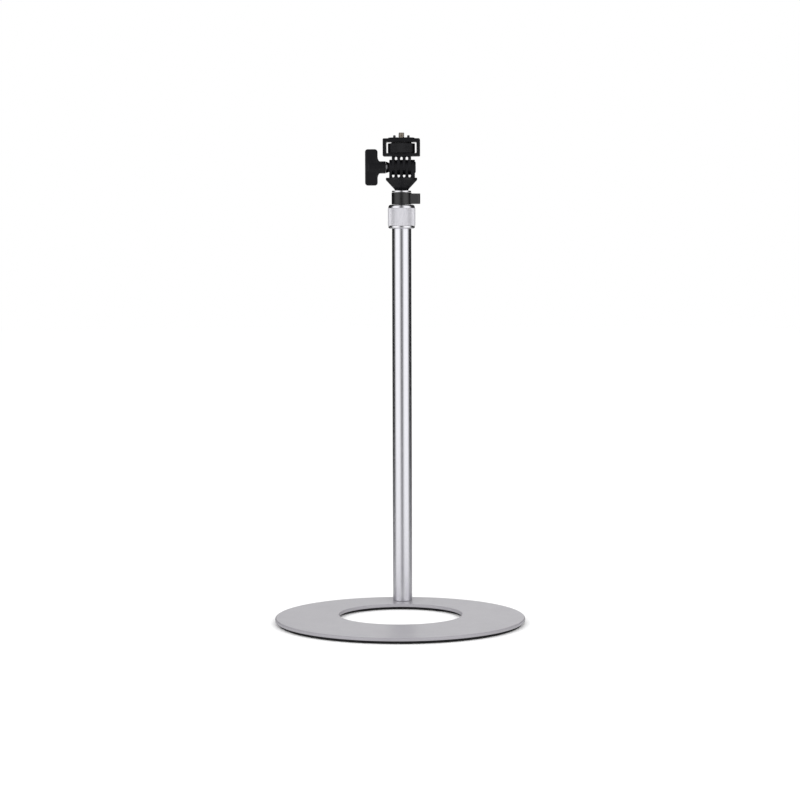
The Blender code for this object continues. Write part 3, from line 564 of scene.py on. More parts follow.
class Workpiece:
    """A mesh on the bench, shaped with the modelling operators."""

    def __init__(self, name: str) -> None:
        """Takes the object that was added last.

        Args:
            name: The name that the object and its mesh get.
        """
        self.item = bpy.context.object
        self.item.name = name
        self.item.data.name = name
        bpy.ops.object.transform_apply(location=True, rotation=True, scale=True)

    @staticmethod
    def clear() -> None:
        """Leaves edit mode and deselects everything."""
        if bpy.context.object and bpy.context.object.mode != "OBJECT":
            bpy.ops.object.mode_set(mode="OBJECT")
        bpy.ops.object.select_all(action="DESELECT")

    def take_up(self) -> None:
        """Makes the piece the active one, and the only one that is selected."""
        self.clear()
        bpy.context.view_layer.objects.active = self.item
        self.item.select_set(True)

    @classmethod
    def turned(cls, name: str, profile: Profile, segments: int = Facets.RIM,
               bored: bool = False) -> "Workpiece":
        """Turns a piece about Z: a circle that is extruded and scaled from ring to ring.

        Args:
            name: The piece's name.
            profile: Radius and height of each ring.
            segments: Faces round a full turn.
            bored: True joins the last ring to the first, and False closes both with a face.

        Returns:
            The closed piece.
        """
        cls.clear()
        radius, height = profile[0]
        bpy.ops.mesh.primitive_circle_add(vertices=segments, radius=radius, location=(0, 0, height))
        piece = cls(name)
        with piece.editing():
            for (radius, height), (new_radius, new_height) in zip(profile, profile[1:]):
                rise = new_height - height
                bpy.ops.mesh.extrude_region_move(TRANSFORM_OT_translate={"value": (0, 0, rise)})
                grow = new_radius / radius
                bpy.ops.transform.resize(value=(grow, grow, 1), center_override=(0, 0, new_height))
            if bored:
                piece.pick(Part.EDGES, lambda edge: edge.is_boundary)
                bpy.ops.mesh.bridge_edge_loops()
            bpy.ops.mesh.select_all(action="SELECT")
            bpy.ops.mesh.fill_holes(sides=0)
            bpy.ops.mesh.normals_make_consistent(inside=False)
        return piece

    @classmethod
    def rod(cls, name: str, radius: float, low: float, high: float,
            segments: int = Facets.RIM) -> "Workpiece":
        """Turns a plain cylinder about Z.

        Args:
            name: The piece's name.
            radius: Its radius.
            low: Height of its foot.
            high: Height of its top.
            segments: Faces round a full turn.

        Returns:
            The cylinder.
        """
        return cls.turned(name, [(radius, low), (radius, high)], segments)

    @classmethod
    def sleeve(cls, name: str, radii: tuple[float, float], low: float, high: float,
               segments: int = Facets.RIM) -> "Workpiece":
        """Turns a plain tube or washer about Z.

        Args:
            name: The piece's name.
            radii: Radius of the bore and of the outside.
            low: Height of its foot.
            high: Height of its top.
            segments: Faces round a full turn.

        Returns:
            The sleeve.
        """
        bore, radius = radii
        profile = [(bore, low), (radius, low), (radius, high), (bore, high)]
        return cls.turned(name, profile, segments, bored=True)

    @classmethod
    def block(cls, name: str, low: Place, high: Place) -> "Workpiece":
        """Makes a box between two corners.

        Args:
            name: The piece's name.
            low: The corner with the lowest values.
            high: The opposite corner.

        Returns:
            The box.
        """
        cls.clear()
        size = Vector(high) - Vector(low)
        bpy.ops.mesh.primitive_cube_add(size=1, location=(Vector(high) + Vector(low)) / 2, scale=size)
        return cls(name)

    @contextmanager
    def editing(self) -> Iterator[None]:
        """Opens the piece in edit mode with all of it selected, and closes it again.

        Returns:
            A context that lasts as long as the piece is open.
        """
        self.take_up()
        bpy.ops.object.mode_set(mode="EDIT")
        bpy.ops.mesh.select_mode(type=Part.VERTS.value)
        bpy.ops.mesh.select_all(action="SELECT")
        yield
        bpy.ops.object.mode_set(mode="OBJECT")

    def pick(self, part: Part, wanted: Callable[[object], bool]) -> None:
        """Selects parts of the piece, in edit mode.

        Args:
            part: Whether vertices, edges or faces are picked.
            wanted: Tells for each of them whether it is one to select.
        """
        bpy.ops.mesh.select_mode(type=part.value)
        bpy.ops.mesh.select_all(action="DESELECT")
        mesh = bmesh.from_edit_mesh(self.item.data)
        for element in getattr(mesh, part.name.lower()):
            if wanted(element):
                element.select_set(True)
        bmesh.update_edit_mesh(self.item.data, loop_triangles=False, destructive=False)

    def press_ridges(self, ridges: int, reach: float, depth: float) -> None:
        """Presses the outermost ring of a turned piece into upright rounded ridges.

        Args:
            ridges: How many ridges stand round the piece.
            reach: What lies further out than this radius is pressed.
            depth: From the top of a ridge to the bottom of a groove.
        """
        step = 2 * math.pi / (RIDGE_COLUMNS * ridges)
        outer = self.item.dimensions.x / 2
        for depth_share, columns in ((math.sin(math.pi * column / RIDGE_COLUMNS) ** 2,
                                      (column, RIDGE_COLUMNS - column))
                                     for column in range(1, RIDGE_COLUMNS // 2 + 1)):

            def groove(vert: bmesh.types.BMVert, columns: tuple[int, int] = columns) -> bool:
                """Tells whether a corner lies in these columns of the outermost ring."""
                column = round((math.atan2(vert.co.y, vert.co.x) % (2 * math.pi)) / step) % RIDGE_COLUMNS
                return column in columns and vert.co.xy.length > reach

            with self.editing():
                self.pick(Part.VERTS, groove)
                press = 1 - depth * depth_share / outer
                bpy.ops.transform.resize(value=(press, press, 1), center_override=(0, 0, 0))

    def bevel(self, width: float, segments: int, wanted: Callable[[object], bool]) -> "Workpiece":
        """Rounds the edges that are wanted.

        Args:
            width: How far the rounding reaches.
            segments: Faces across it.
            wanted: Tells for each edge whether it is rounded.

        Returns:
            The piece.
        """
        with self.editing():
            self.pick(Part.EDGES, wanted)
            bpy.ops.mesh.bevel(offset=width, segments=segments, profile=0.5, affect="EDGES",
                               clamp_overlap=True)
        return self

    def modify(self, kind: str, **settings: object) -> "Workpiece":
        """Applies a modifier.

        Args:
            kind: The modifier's type.
            **settings: Its own properties.

        Returns:
            The piece.
        """
        self.take_up()
        modifier = self.item.modifiers.new(kind.lower(), kind)
        for name, value in settings.items():
            setattr(modifier, name, value)
        bpy.ops.object.modifier_apply(modifier=modifier.name)
        return self

    def combine(self, tool: "Workpiece", cut: Cut = Cut.REMOVE) -> "Workpiece":
        """Cuts with a tool shape or joins it on, and takes the tool away.

        Args:
            tool: The shape.
            cut: What it does to the piece.

        Returns:
            The piece.
        """
        self.modify("BOOLEAN", operation=cut.value, solver="EXACT", object=tool.item)
        bpy.data.objects.remove(tool.item, do_unlink=True)
        return self

    def soften(self, width: float, segments: int = 2, angle: float = 30.0) -> "Workpiece":
        """Rounds every edge that is sharper than an angle and returns the piece."""
        return self.modify("BEVEL", width=width, segments=segments, limit_method="ANGLE",
                           angle_limit=math.radians(angle), use_clamp_overlap=True)

    def place(self, location: Place, turn: Place = (0, 0, 0)) -> "Workpiece":
        """Turns the piece about its axes, moves it, and writes both into its mesh.

        Args:
            location: Where its origin goes.
            turn: Angles about X, Y and Z, in degrees.

        Returns:
            The piece.
        """
        self.take_up()
        self.item.rotation_euler = [math.radians(angle) for angle in turn]
        self.item.location = location
        bpy.ops.object.transform_apply(location=True, rotation=True, scale=True)
        return self

    def on_pole(self, height: float = 0.0) -> "Workpiece":
        """Sets the piece on the pole's axis, raised by a height, and returns it."""
        return self.place((POLE_AXIS.x, POLE_AXIS.y, height))

    def hand_in(self, body: Body, finish: Finish, *nodes: str, smooth: float = 38.0) -> None:
        """Dresses the finished piece and hangs it on its body.

        Args:
            body: The group that it moves with.
            finish: Its material.
            *nodes: The nodes that it stands for.
            smooth: Edges flatter than this angle are shaded smooth.
        """
        self.take_up()
        bpy.ops.object.shade_smooth_by_angle(angle=math.radians(smooth))
        self.modify("WEIGHTED_NORMAL", keep_sharp=True)
        self.item.data.materials.clear()
        self.item.data.materials.append(finish.material())
        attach(self.item, body.value)
        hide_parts(*nodes)
        LOG.info("%s: %d faces, rides on %s", self.item.name, len(self.item.data.polygons), body.value)


@dataclass
class RingBase:
    """The painted ring, the rubber under it, and the screw that holds the pole."""

    plate: Span = span_of("base_plate")
    rubber: Span = span_of("base_pad")
    screw: Span = span_of("foot_screw")
    hole_radius: float = 0.0616
    hole_offset: float = 0.015
    rubber_inset: float = 0.0039
    rounding: float = 0.0014
    plate_edge: float = 0.00025
    rubber_edge: float = 0.0003
    screw_edge: float = 0.0002
    head_play: float = GAP
    head_land: float = 0.0004
    access_margin: float = 0.0018
    shank_radius: float = 0.003
    key_flats: float = 0.004
    key_depth: float = 0.0016

    def build(self) -> None:
        """Makes the three pieces."""
        self.make_plate().hand_in(Body.STAND, SILVER_PAINT, "base_plate")
        self.make_rubber().hand_in(Body.STAND, RUBBER, "base_pad")
        self.make_screw().hand_in(Body.STAND, PLATED_STEEL, "foot_screw")

    def make_ring(self, name: str, outer: float, inner: float, span: Span) -> Workpiece:
        """Makes a flat ring whose hole lies nearer to the rear.

        Args:
            name: The piece's name.
            outer: Radius of the rim.
            inner: Radius of the hole.
            span: The box that gives its underside and its top.

        Returns:
            The closed ring, with sharp edges.
        """
        Workpiece.clear()
        bpy.ops.mesh.primitive_circle_add(vertices=Facets.RING, radius=outer, location=(0, 0, span.low.z))
        ring = Workpiece(name)
        with ring.editing():
            bpy.ops.mesh.primitive_circle_add(vertices=Facets.RING, radius=inner,
                                              location=(0, self.hole_offset, span.low.z))
            bpy.ops.mesh.select_all(action="SELECT")
            bpy.ops.mesh.bridge_edge_loops()
            bpy.ops.mesh.select_all(action="SELECT")
            bpy.ops.mesh.extrude_region_move(TRANSFORM_OT_translate={"value": (0, 0, span.size.z)})
            bpy.ops.mesh.select_all(action="SELECT")
            bpy.ops.mesh.normals_make_consistent(inside=False)
        return ring

    def make_plate(self) -> Workpiece:
        """Makes the steel ring, with rounded rims and the screw's countersink.

        Returns:
            The plate.
        """
        plate = self.make_ring("ring_plate", self.plate.radius, self.hole_radius, self.plate)
        top = self.plate.high.z

        def rim(edge: bmesh.types.BMEdge) -> bool:
            """Tells whether an edge is one of the plate's two upper rims."""
            return min(vert.co.z for vert in edge.verts) > top - GAP and edge.calc_face_angle(0) > SHARP

        plate.bevel(self.rounding, segments=7, wanted=rim)
        head, shank = self.screw.radius + self.head_play, self.shank_radius + self.head_play
        land = self.plate.size.z - self.head_land
        sink = Workpiece.turned("sink", [(head, -OVER), (head, 0), (shank, land), (shank, land + OVER)],
                                Facets.BORE)
        plate.combine(sink.on_pole(self.plate.low.z))
        return plate.soften(self.plate_edge)

    def make_rubber(self) -> Workpiece:
        """Makes the rubber ring, with a hole under the screw's head.

        Returns:
            The rubber.
        """
        rubber = self.make_ring("rubber_ring", self.rubber.radius, self.hole_radius + self.rubber_inset,
                                self.rubber)
        reach = self.screw.radius + self.access_margin
        access = Workpiece.rod("access", reach, -OVER, self.plate.low.z, Facets.BORE)
        return rubber.combine(access.on_pole()).soften(self.rubber_edge)

    def make_screw(self) -> Workpiece:
        """Makes the countersunk screw with its six-sided key hole.

        Returns:
            The screw.
        """
        head, shank = self.screw.radius, self.shank_radius
        land = self.plate.size.z - self.head_land
        screw = Workpiece.turned("plate_screw", [
            (head, 0), (head, GAP), (shank, land), (shank, self.screw.size.z),
        ], Facets.BORE)
        corner = self.key_flats / math.sqrt(3)
        screw.combine(Workpiece.rod("key", corner, -OVER, self.key_depth, Facets.HEXAGON))
        return screw.soften(self.screw_edge).on_pole(self.screw.low.z)


@dataclass
class Pole:
    """The polished tube that stands on the ring, and the threaded ferrule on its top."""

    tube: Span = span_of("outer_tube")
    ferrule: Span = span_of("collar_ferrule")
    wall: float = 0.0012
    tube_edge: float = 0.0004
    ferrule_edge: float = 0.00015
    flange_height: float = 0.0023
    flange_foot: float = 0.0004
    flange_drop: float = 0.0005
    flange_lip: float = 0.0011
    flange_start: float = -62.0
    thread_radius: float = 0.012
    socket_depth: float = 0.0099
    mouth_radius: float = 0.0107
    mast_room: float = 0.0083
    shoulder: float = 0.0012
    collet_ledge: float = 0.001

    def build(self) -> None:
        """Makes both pieces."""
        radii = (self.tube.radius - self.wall, self.tube.radius)
        tube = Workpiece.sleeve("pole_tube", radii, self.tube.low.z, self.tube.high.z, Facets.POLE)
        tube.soften(self.tube_edge, segments=3).on_pole()
        tube.hand_in(Body.STAND, POLISHED, "outer_tube")
        self.make_ferrule().hand_in(Body.STAND, MIRROR_POLISH, "collar_ferrule")

    def make_ferrule(self) -> Workpiece:
        """Makes the ferrule, whose rounded flange shows under the collar.

        Returns:
            The ferrule.
        """
        low, high = self.ferrule.low.z, self.ferrule.high.z
        socket, flange = self.tube.radius + GAP, self.ferrule.radius
        top, step = low + self.flange_height, low + self.socket_depth
        foot, foot_low = socket + self.flange_foot, low - self.flange_drop
        lip = top - self.flange_lip
        cup = arc((foot, lip), (flange - foot, lip - foot_low), self.flange_start, 0, steps=8)
        ferrule = Workpiece.turned("thread_ferrule", [
            (socket, foot_low), (foot, foot_low), *cup, (flange, top), (self.thread_radius, top),
            (self.thread_radius, high), (self.mouth_radius, high),
            (self.mast_room + self.collet_ledge, step + self.shoulder),
            (self.mast_room, step + self.shoulder), (self.mast_room, step), (socket, step),
        ], Facets.POLE, bored=True)
        return ferrule.soften(self.ferrule_edge).on_pole()


@dataclass
class TwistCollar:
    """The knurled collar that locks the mast."""

    span: Span = span_of("twist_collar")
    ridges: int = 118
    ridge_depth: float = 0.00024
    chamfer: float = 0.0006
    crown_height: float = 0.0033
    crown_step: float = 0.00035
    crown_depth: float = 0.0025
    web: float = 0.003
    bore: float = 0.0123
    mast_room: float = 0.0083

    def build(self) -> None:
        """Makes the collar: a turned blank whose band is then pressed into ridges."""
        height, radius = self.span.size.z, self.span.radius
        band_top = height - self.crown_height
        crown = arc((radius - self.crown_depth, band_top),
                    (self.crown_depth - self.crown_step, self.crown_height), 0, 90, steps=9)
        collar = Workpiece.turned("knurled_collar", [
            (self.bore, 0), (radius - self.chamfer, 0), (radius, self.chamfer),
            (radius, band_top - self.chamfer), (radius - self.chamfer, band_top - GAP / 2),
            *crown, (self.mast_room, height),
            (self.mast_room, height - self.web), (self.bore, height - self.web),
        ], RIDGE_COLUMNS * self.ridges, bored=True)
        collar.press_ridges(self.ridges, radius - GAP / 2, self.ridge_depth)
        collar.on_pole(self.span.low.z)
        collar.hand_in(Body.COLLAR, KNURLED, "twist_collar", smooth=50)


@dataclass
class Mast:
    """The inner tube that slides up, the cap in its top and the washer under the head."""

    tube: Span = span_of("inner_tube")
    cap: Span = span_of("mast_cap")
    washer: Span = span_of("friction_washer")
    wall: float = 0.001
    flange: float = 0.001
    stud_room: float = 0.003475
    tube_edge: float = 0.00015
    cap_edge: float = 0.0002
    washer_edge: float = 0.0003

    def build(self) -> None:
        """Makes the three pieces."""
        bore = self.tube.radius - self.wall
        tube = Workpiece.sleeve("mast_tube", (bore, self.tube.radius), self.tube.low.z, self.tube.high.z,
                                Facets.MAST)
        tube.soften(self.tube_edge).on_pole().hand_in(Body.MAST, POLISHED, "inner_tube")
        low, high = self.cap.low.z, self.cap.high.z
        cap = Workpiece.turned("mast_end_cap", [
            (self.stud_room, low), (bore - GAP, low), (bore - GAP, high - self.flange),
            (self.cap.radius, high - self.flange), (self.cap.radius, high), (self.stud_room, high),
        ], Facets.RIM, bored=True)
        cap.soften(self.cap_edge).on_pole().hand_in(Body.MAST, TURNED, "mast_cap")
        washer = Workpiece.sleeve("polished_washer", (self.stud_room, self.washer.radius),
                                  self.washer.low.z, self.washer.high.z, Facets.BODY)
        washer.soften(self.washer_edge, segments=3).on_pole()
        washer.hand_in(Body.MAST, MIRROR_POLISH, "friction_washer")


@dataclass
class LockLever:
    """The lever nut under the head: a round body with a flat tab."""

    span: Span = span_of("lock_lever")
    radius: float = 0.0103
    bore: float = 0.005475
    tab_thickness: float = 0.0044
    tab_root: float = 0.0096
    tab_rounding: float = 0.0021
    tab_low: float = 0.0004
    tab_high: float = 0.001
    edge: float = 0.0005

    def build(self) -> None:
        """Makes the lever."""
        height = self.span.size.z
        lever = Workpiece.sleeve("lever_body", (self.bore, self.radius), 0, height, Facets.BODY)
        lever.soften(self.edge, segments=3)
        half, reach = self.tab_thickness / 2, self.span.high.x - POLE_AXIS.x
        root = (self.bore + self.radius) / 2
        tab = Workpiece.block("tab", (root, -half, self.tab_low), (reach, half, height - self.tab_high))
        with tab.editing():
            tab.pick(Part.VERTS, lambda vert: vert.co.x < root + GAP)
            widening = self.tab_root / self.tab_thickness
            bpy.ops.transform.resize(value=(1, widening, 1), center_override=(root, 0, 0))

        def upright_end(edge: bmesh.types.BMEdge) -> bool:
            """Tells whether an edge stands upright at the tab's end."""
            return all(vert.co.x > reach - GAP for vert in edge.verts) and run(edge, "z") > half

        tab.bevel(self.tab_rounding, segments=8, wanted=upright_end)
        tab.soften(self.edge, segments=3)
        lever.combine(tab, Cut.JOIN).on_pole(self.span.low.z)
        lever.hand_in(Body.LEVER, GLOSSY_NYLON, "lock_lever")


@dataclass
class Comb:
    """The fingers of the hinge, which both halves share."""

    pitch: float = 0.0056
    thickness: float = 0.0026
    knuckle: float = 0.0078
    side_play: float = 0.0001
    bolt_room: float = 0.0033
    cutter_overrun: float = 0.008

    @property
    def slot(self) -> float:
        """Returns the width of the gap between two lower fingers."""
        return self.pitch - self.thickness

    def knuckle_block(self, name: str, left: float, right: float, reach: float) -> Workpiece:
        """Makes a block that is round about the hinge's axis.

        Args:
            name: The piece's name.
            left: Where it starts along the axis.
            right: Where it ends.
            reach: Height of its flat end, above the axis or below it.

        Returns:
            The block, about an axis at the origin.
        """
        side = math.copysign(1, reach)
        low = (left, -self.knuckle, min(reach, -side * self.knuckle))
        high = (right, self.knuckle, max(reach, -side * self.knuckle))
        block = Workpiece.block(name, low, high)

        def round_end(edge: bmesh.types.BMEdge) -> bool:
            """Tells whether an edge lies along the axis at the end that is round."""
            return all(side * vert.co.z < 0 for vert in edge.verts) and run(edge, "x") > GAP

        return block.bevel(self.knuckle - HAIR, segments=16, wanted=round_end)

    def cut_slot(self, piece: Workpiece, middle: float, widths: tuple[float, float], root: float,
                 step: float) -> None:
        """Cuts one gap between two fingers.

        Args:
            piece: The hinge half.
            middle: Where the gap lies along the axis.
            widths: Width at its mouth, and the narrower one at its round root.
            root: Height of the root above the axis.
            step: Height where the mouth starts to narrow.
        """
        side = math.copysign(1, step - root)
        wide, narrow = widths[0] / 2, widths[1] / 2
        mouth = side * (self.knuckle + OVER)
        deep = self.knuckle + OVER + self.cutter_overrun
        for half, end, rounding, segments in ((wide, step - side * (wide - narrow), wide - narrow, 1),
                                              (narrow, root, narrow - HAIR / 2, 8)):
            tool = Workpiece.block("slot_tool", (middle - half, -deep, min(end, mouth)),
                                   (middle + half, deep, max(end, mouth)))

            def root_edge(edge: bmesh.types.BMEdge, end: float = end) -> bool:
                """Tells whether an edge runs along the root of this stretch."""
                return all(abs(vert.co.z - end) < HAIR for vert in edge.verts) and run(edge, "y") > GAP

            tool.bevel(rounding, segments, root_edge)
            piece.combine(tool)

    def cut_slots(self, piece: Workpiece, fingers: int, widths: tuple[float, float], root: float,
                  step: float) -> None:
        """Cuts the gaps between a hinge half's fingers, spread evenly about its middle.

        Args:
            piece: The hinge half.
            fingers: How many fingers it gets.
            widths: Width of a gap at its mouth, and the narrower one at its round root.
            root: Height of the roots above the axis.
            step: Height where the mouths start to narrow.
        """
        for index in range(fingers - 1):
            middle = (index - (fingers - 2) / 2) * self.pitch
            self.cut_slot(piece, middle, widths, root, step)

    def drill(self, piece: Workpiece, left: float, right: float) -> None:
        """Drills the bolt's hole between two places along the axis."""
        drill = Workpiece.rod("drill", self.bolt_room, left, right, Facets.PIN)
        piece.combine(drill.place((0, 0, 0), (0, 90, 0)))


@dataclass
class TiltHead:
    """The cone with the lower fingers, and the cross bolt."""

    comb: Comb
    cone: Span = span_of("hinge_base")
    bolt: Span = span_of("clamp_bolt")
    fingers: int = 5
    cheek: float = 0.0013
    cone_height: float = 0.0129
    rim_height: float = 0.0023
    lip_height: float = 0.0012
    lip_radius: float = 0.0069
    low_radius: float = 0.0074
    insert_room: float = 0.005075
    insert_depth: float = 0.0103
    web: float = 0.0004
    root_width: float = 0.0025
    head_flats: float = 0.010
    head_height: float = 0.0019
    head_chamfer: float = 0.0005
    shaft_radius: float = 0.003
    cone_edge: float = 0.00025
    bolt_edge: float = 0.0001

    @property
    def half_width(self) -> float:
        """Returns half the width of the fingers, without the cheek."""
        return ((self.fingers - 1) * self.comb.pitch + self.comb.thickness) / 2

    def build(self) -> None:
        """Makes both pieces."""
        self.make_cone().hand_in(Body.HEAD, BLACK_NYLON, "hinge_base")
        self.make_bolt().hand_in(Body.HEAD, BLACKENED, "clamp_bolt")

    def make_cone(self) -> Workpiece:
        """Makes the lower half of the hinge.

        Returns:
            The cone with its fingers.
        """
        rise = TILT_AXIS.z - self.cone.low.z
        radius, foot = self.cone.radius, self.cone_height - rise
        face = self.half_width + self.cheek
        piece = self.comb.knuckle_block("cone_hinge", -self.half_width, face, foot - self.rim_height / 2)
        widths = (self.comb.slot, self.root_width)
        self.comb.cut_slots(piece, self.fingers, widths, foot + self.web, -self.comb.knuckle - GAP)
        self.comb.drill(piece, -self.half_width - OVER, face + OVER)
        reach = (self.head_flats + 2 * GAP) / math.sqrt(3)
        pocket = Workpiece.rod("pocket", reach, 0, self.cheek + OVER, Facets.HEXAGON)
        pocket.place((0, 0, 0), UPRIGHT).place((self.half_width, 0, 0), (0, 90, 0))
        piece.combine(pocket)
        piece.place((0, 0, rise))
        cone = Workpiece.turned("cone", [
            (self.insert_room, self.insert_depth), (self.insert_room, 0), (self.lip_radius, 0),
            (self.low_radius, self.lip_height), (radius, self.cone_height - self.rim_height),
            (radius, self.cone_height),
        ], Facets.BODY)
        piece.combine(cone, Cut.JOIN).soften(self.cone_edge)
        return piece.on_pole(self.cone.low.z)

    def make_bolt(self) -> Workpiece:
        """Makes the cross bolt, whose six-sided head sits in the cheek.

        Returns:
            The bolt.
        """
        left, right = self.bolt.low.x - TILT_AXIS.x, self.bolt.high.x - TILT_AXIS.x
        face = right - self.head_height
        reach = self.head_flats / math.sqrt(3)
        bolt = Workpiece.rod("cross_bolt", reach, face, right, Facets.HEXAGON)
        bolt.place((0, 0, 0), UPRIGHT)
        crown = Workpiece.turned("crown", [
            (reach + GAP, face - OVER), (reach + GAP, right - self.head_chamfer),
            (self.head_flats / 2, right),
        ], Facets.ROD)
        shaft = Workpiece.turned("shaft", [
            (self.shaft_radius - GAP, left), (self.shaft_radius, left + GAP), (self.shaft_radius, face + GAP),
        ], Facets.BORE)
        bolt.combine(crown, Cut.KEEP).combine(shaft, Cut.JOIN).soften(self.bolt_edge)
        return bolt.place(TILT_AXIS, (0, 90, 0))


@dataclass
class TiltKnob:
    """The T-handled knob and the metal ferrule in front of it."""

    knob: Span = span_of("tilt_knob")
    ferrule: Span = span_of("knob_ferrule")
    bolt_room: float = 0.0033
    nut_room: float = 0.0049
    nut_depth: float = 0.0146
    wing_thickness: float = 0.0128
    wing_depth: float = 0.009
    wing_corner: float = 0.0028
    wing_edge: float = 0.0014
    fillet: float = 0.0065
    hub_inset: float = 0.0022
    hub_edge: float = 0.0018
    hub_foot_edge: float = 0.0004
    ferrule_low: float = 0.0048
    ferrule_edge: float = 0.0002
    voxel: float = 0.00028

    def build(self) -> None:
        """Makes both pieces."""
        self.make_knob().hand_in(Body.KNOB, BLACK_NYLON, "tilt_knob", smooth=60)
        start, end = TILT_AXIS.x - self.ferrule.high.x, TILT_AXIS.x - self.ferrule.low.x
        ferrule = Workpiece.turned("bolt_ferrule", [
            (self.bolt_room, start), (self.ferrule_low, start), (self.ferrule.size.z / 2, end - GAP),
            (self.ferrule.size.z / 2, end), (self.bolt_room, end),
        ], Facets.RIM, bored=True)
        ferrule.soften(self.ferrule_edge).place(TILT_AXIS, (0, -90, 0))
        ferrule.hand_in(Body.KNOB, DARK_STEEL, "knob_ferrule")

    def make_knob(self) -> Workpiece:
        """Makes the knob: two wings and a hub, grown together as one moulding.

        Returns:
            The knob.
        """
        hub, half = self.knob.size.y / 2, self.knob.size.z / 2
        start, end = TILT_AXIS.x - self.knob.high.x, TILT_AXIS.x - self.knob.low.x
        wing_start, deep = end - self.wing_thickness, self.wing_depth / 2
        knob = Workpiece.block("t_knob", (wing_start, -deep, -half), (end, deep, half))

        def corner(edge: bmesh.types.BMEdge) -> bool:
            """Tells whether an edge runs through the wings from front to back."""
            return run(edge, "y") > deep

        knob.bevel(self.wing_corner, segments=8, wanted=corner)
        knob.bevel(self.wing_edge, segments=4, wanted=lambda edge: edge.calc_face_angle(0) > SHARP)
        root = math.sqrt(hub ** 2 - deep ** 2)
        for side in (-1, 1):
            low, high = sorted((0.0, side * (root + self.fillet)))
            web_start = wing_start - self.fillet
            web = Workpiece.block("web", (web_start, -deep, low), (wing_start + GAP, deep, high))
            tool = Workpiece.rod("fillet", self.fillet, -OVER - deep, OVER + deep)
            tool.place((web_start, 0, side * (root + self.fillet)), (90, 0, 0))
            knob.combine(web.combine(tool), Cut.JOIN)
        core = Workpiece.rod("hub", hub, start, end - self.hub_inset)
        for height, edge_width in ((start, self.hub_foot_edge), (end - self.hub_inset, self.hub_edge)):

            def rim(edge: bmesh.types.BMEdge, height: float = height) -> bool:
                """Tells whether an edge lies in this end face of the hub."""
                return all(abs(vert.co.z - height) < HAIR for vert in edge.verts)

            core.bevel(edge_width, segments=6, wanted=rim)
        knob.combine(core.place((0, 0, 0), (0, 90, 0)), Cut.JOIN)
        room = Workpiece.rod("room", self.nut_room, start - OVER, start + self.nut_depth, Facets.ROD)
        knob.combine(room.place((0, 0, 0), (0, 90, 0)))
        knob.modify("REMESH", mode="VOXEL", voxel_size=self.voxel, use_smooth_shade=True)
        knob.modify("SMOOTH", factor=0.5, iterations=5)
        return knob.place(TILT_AXIS, (0, 0, 180))


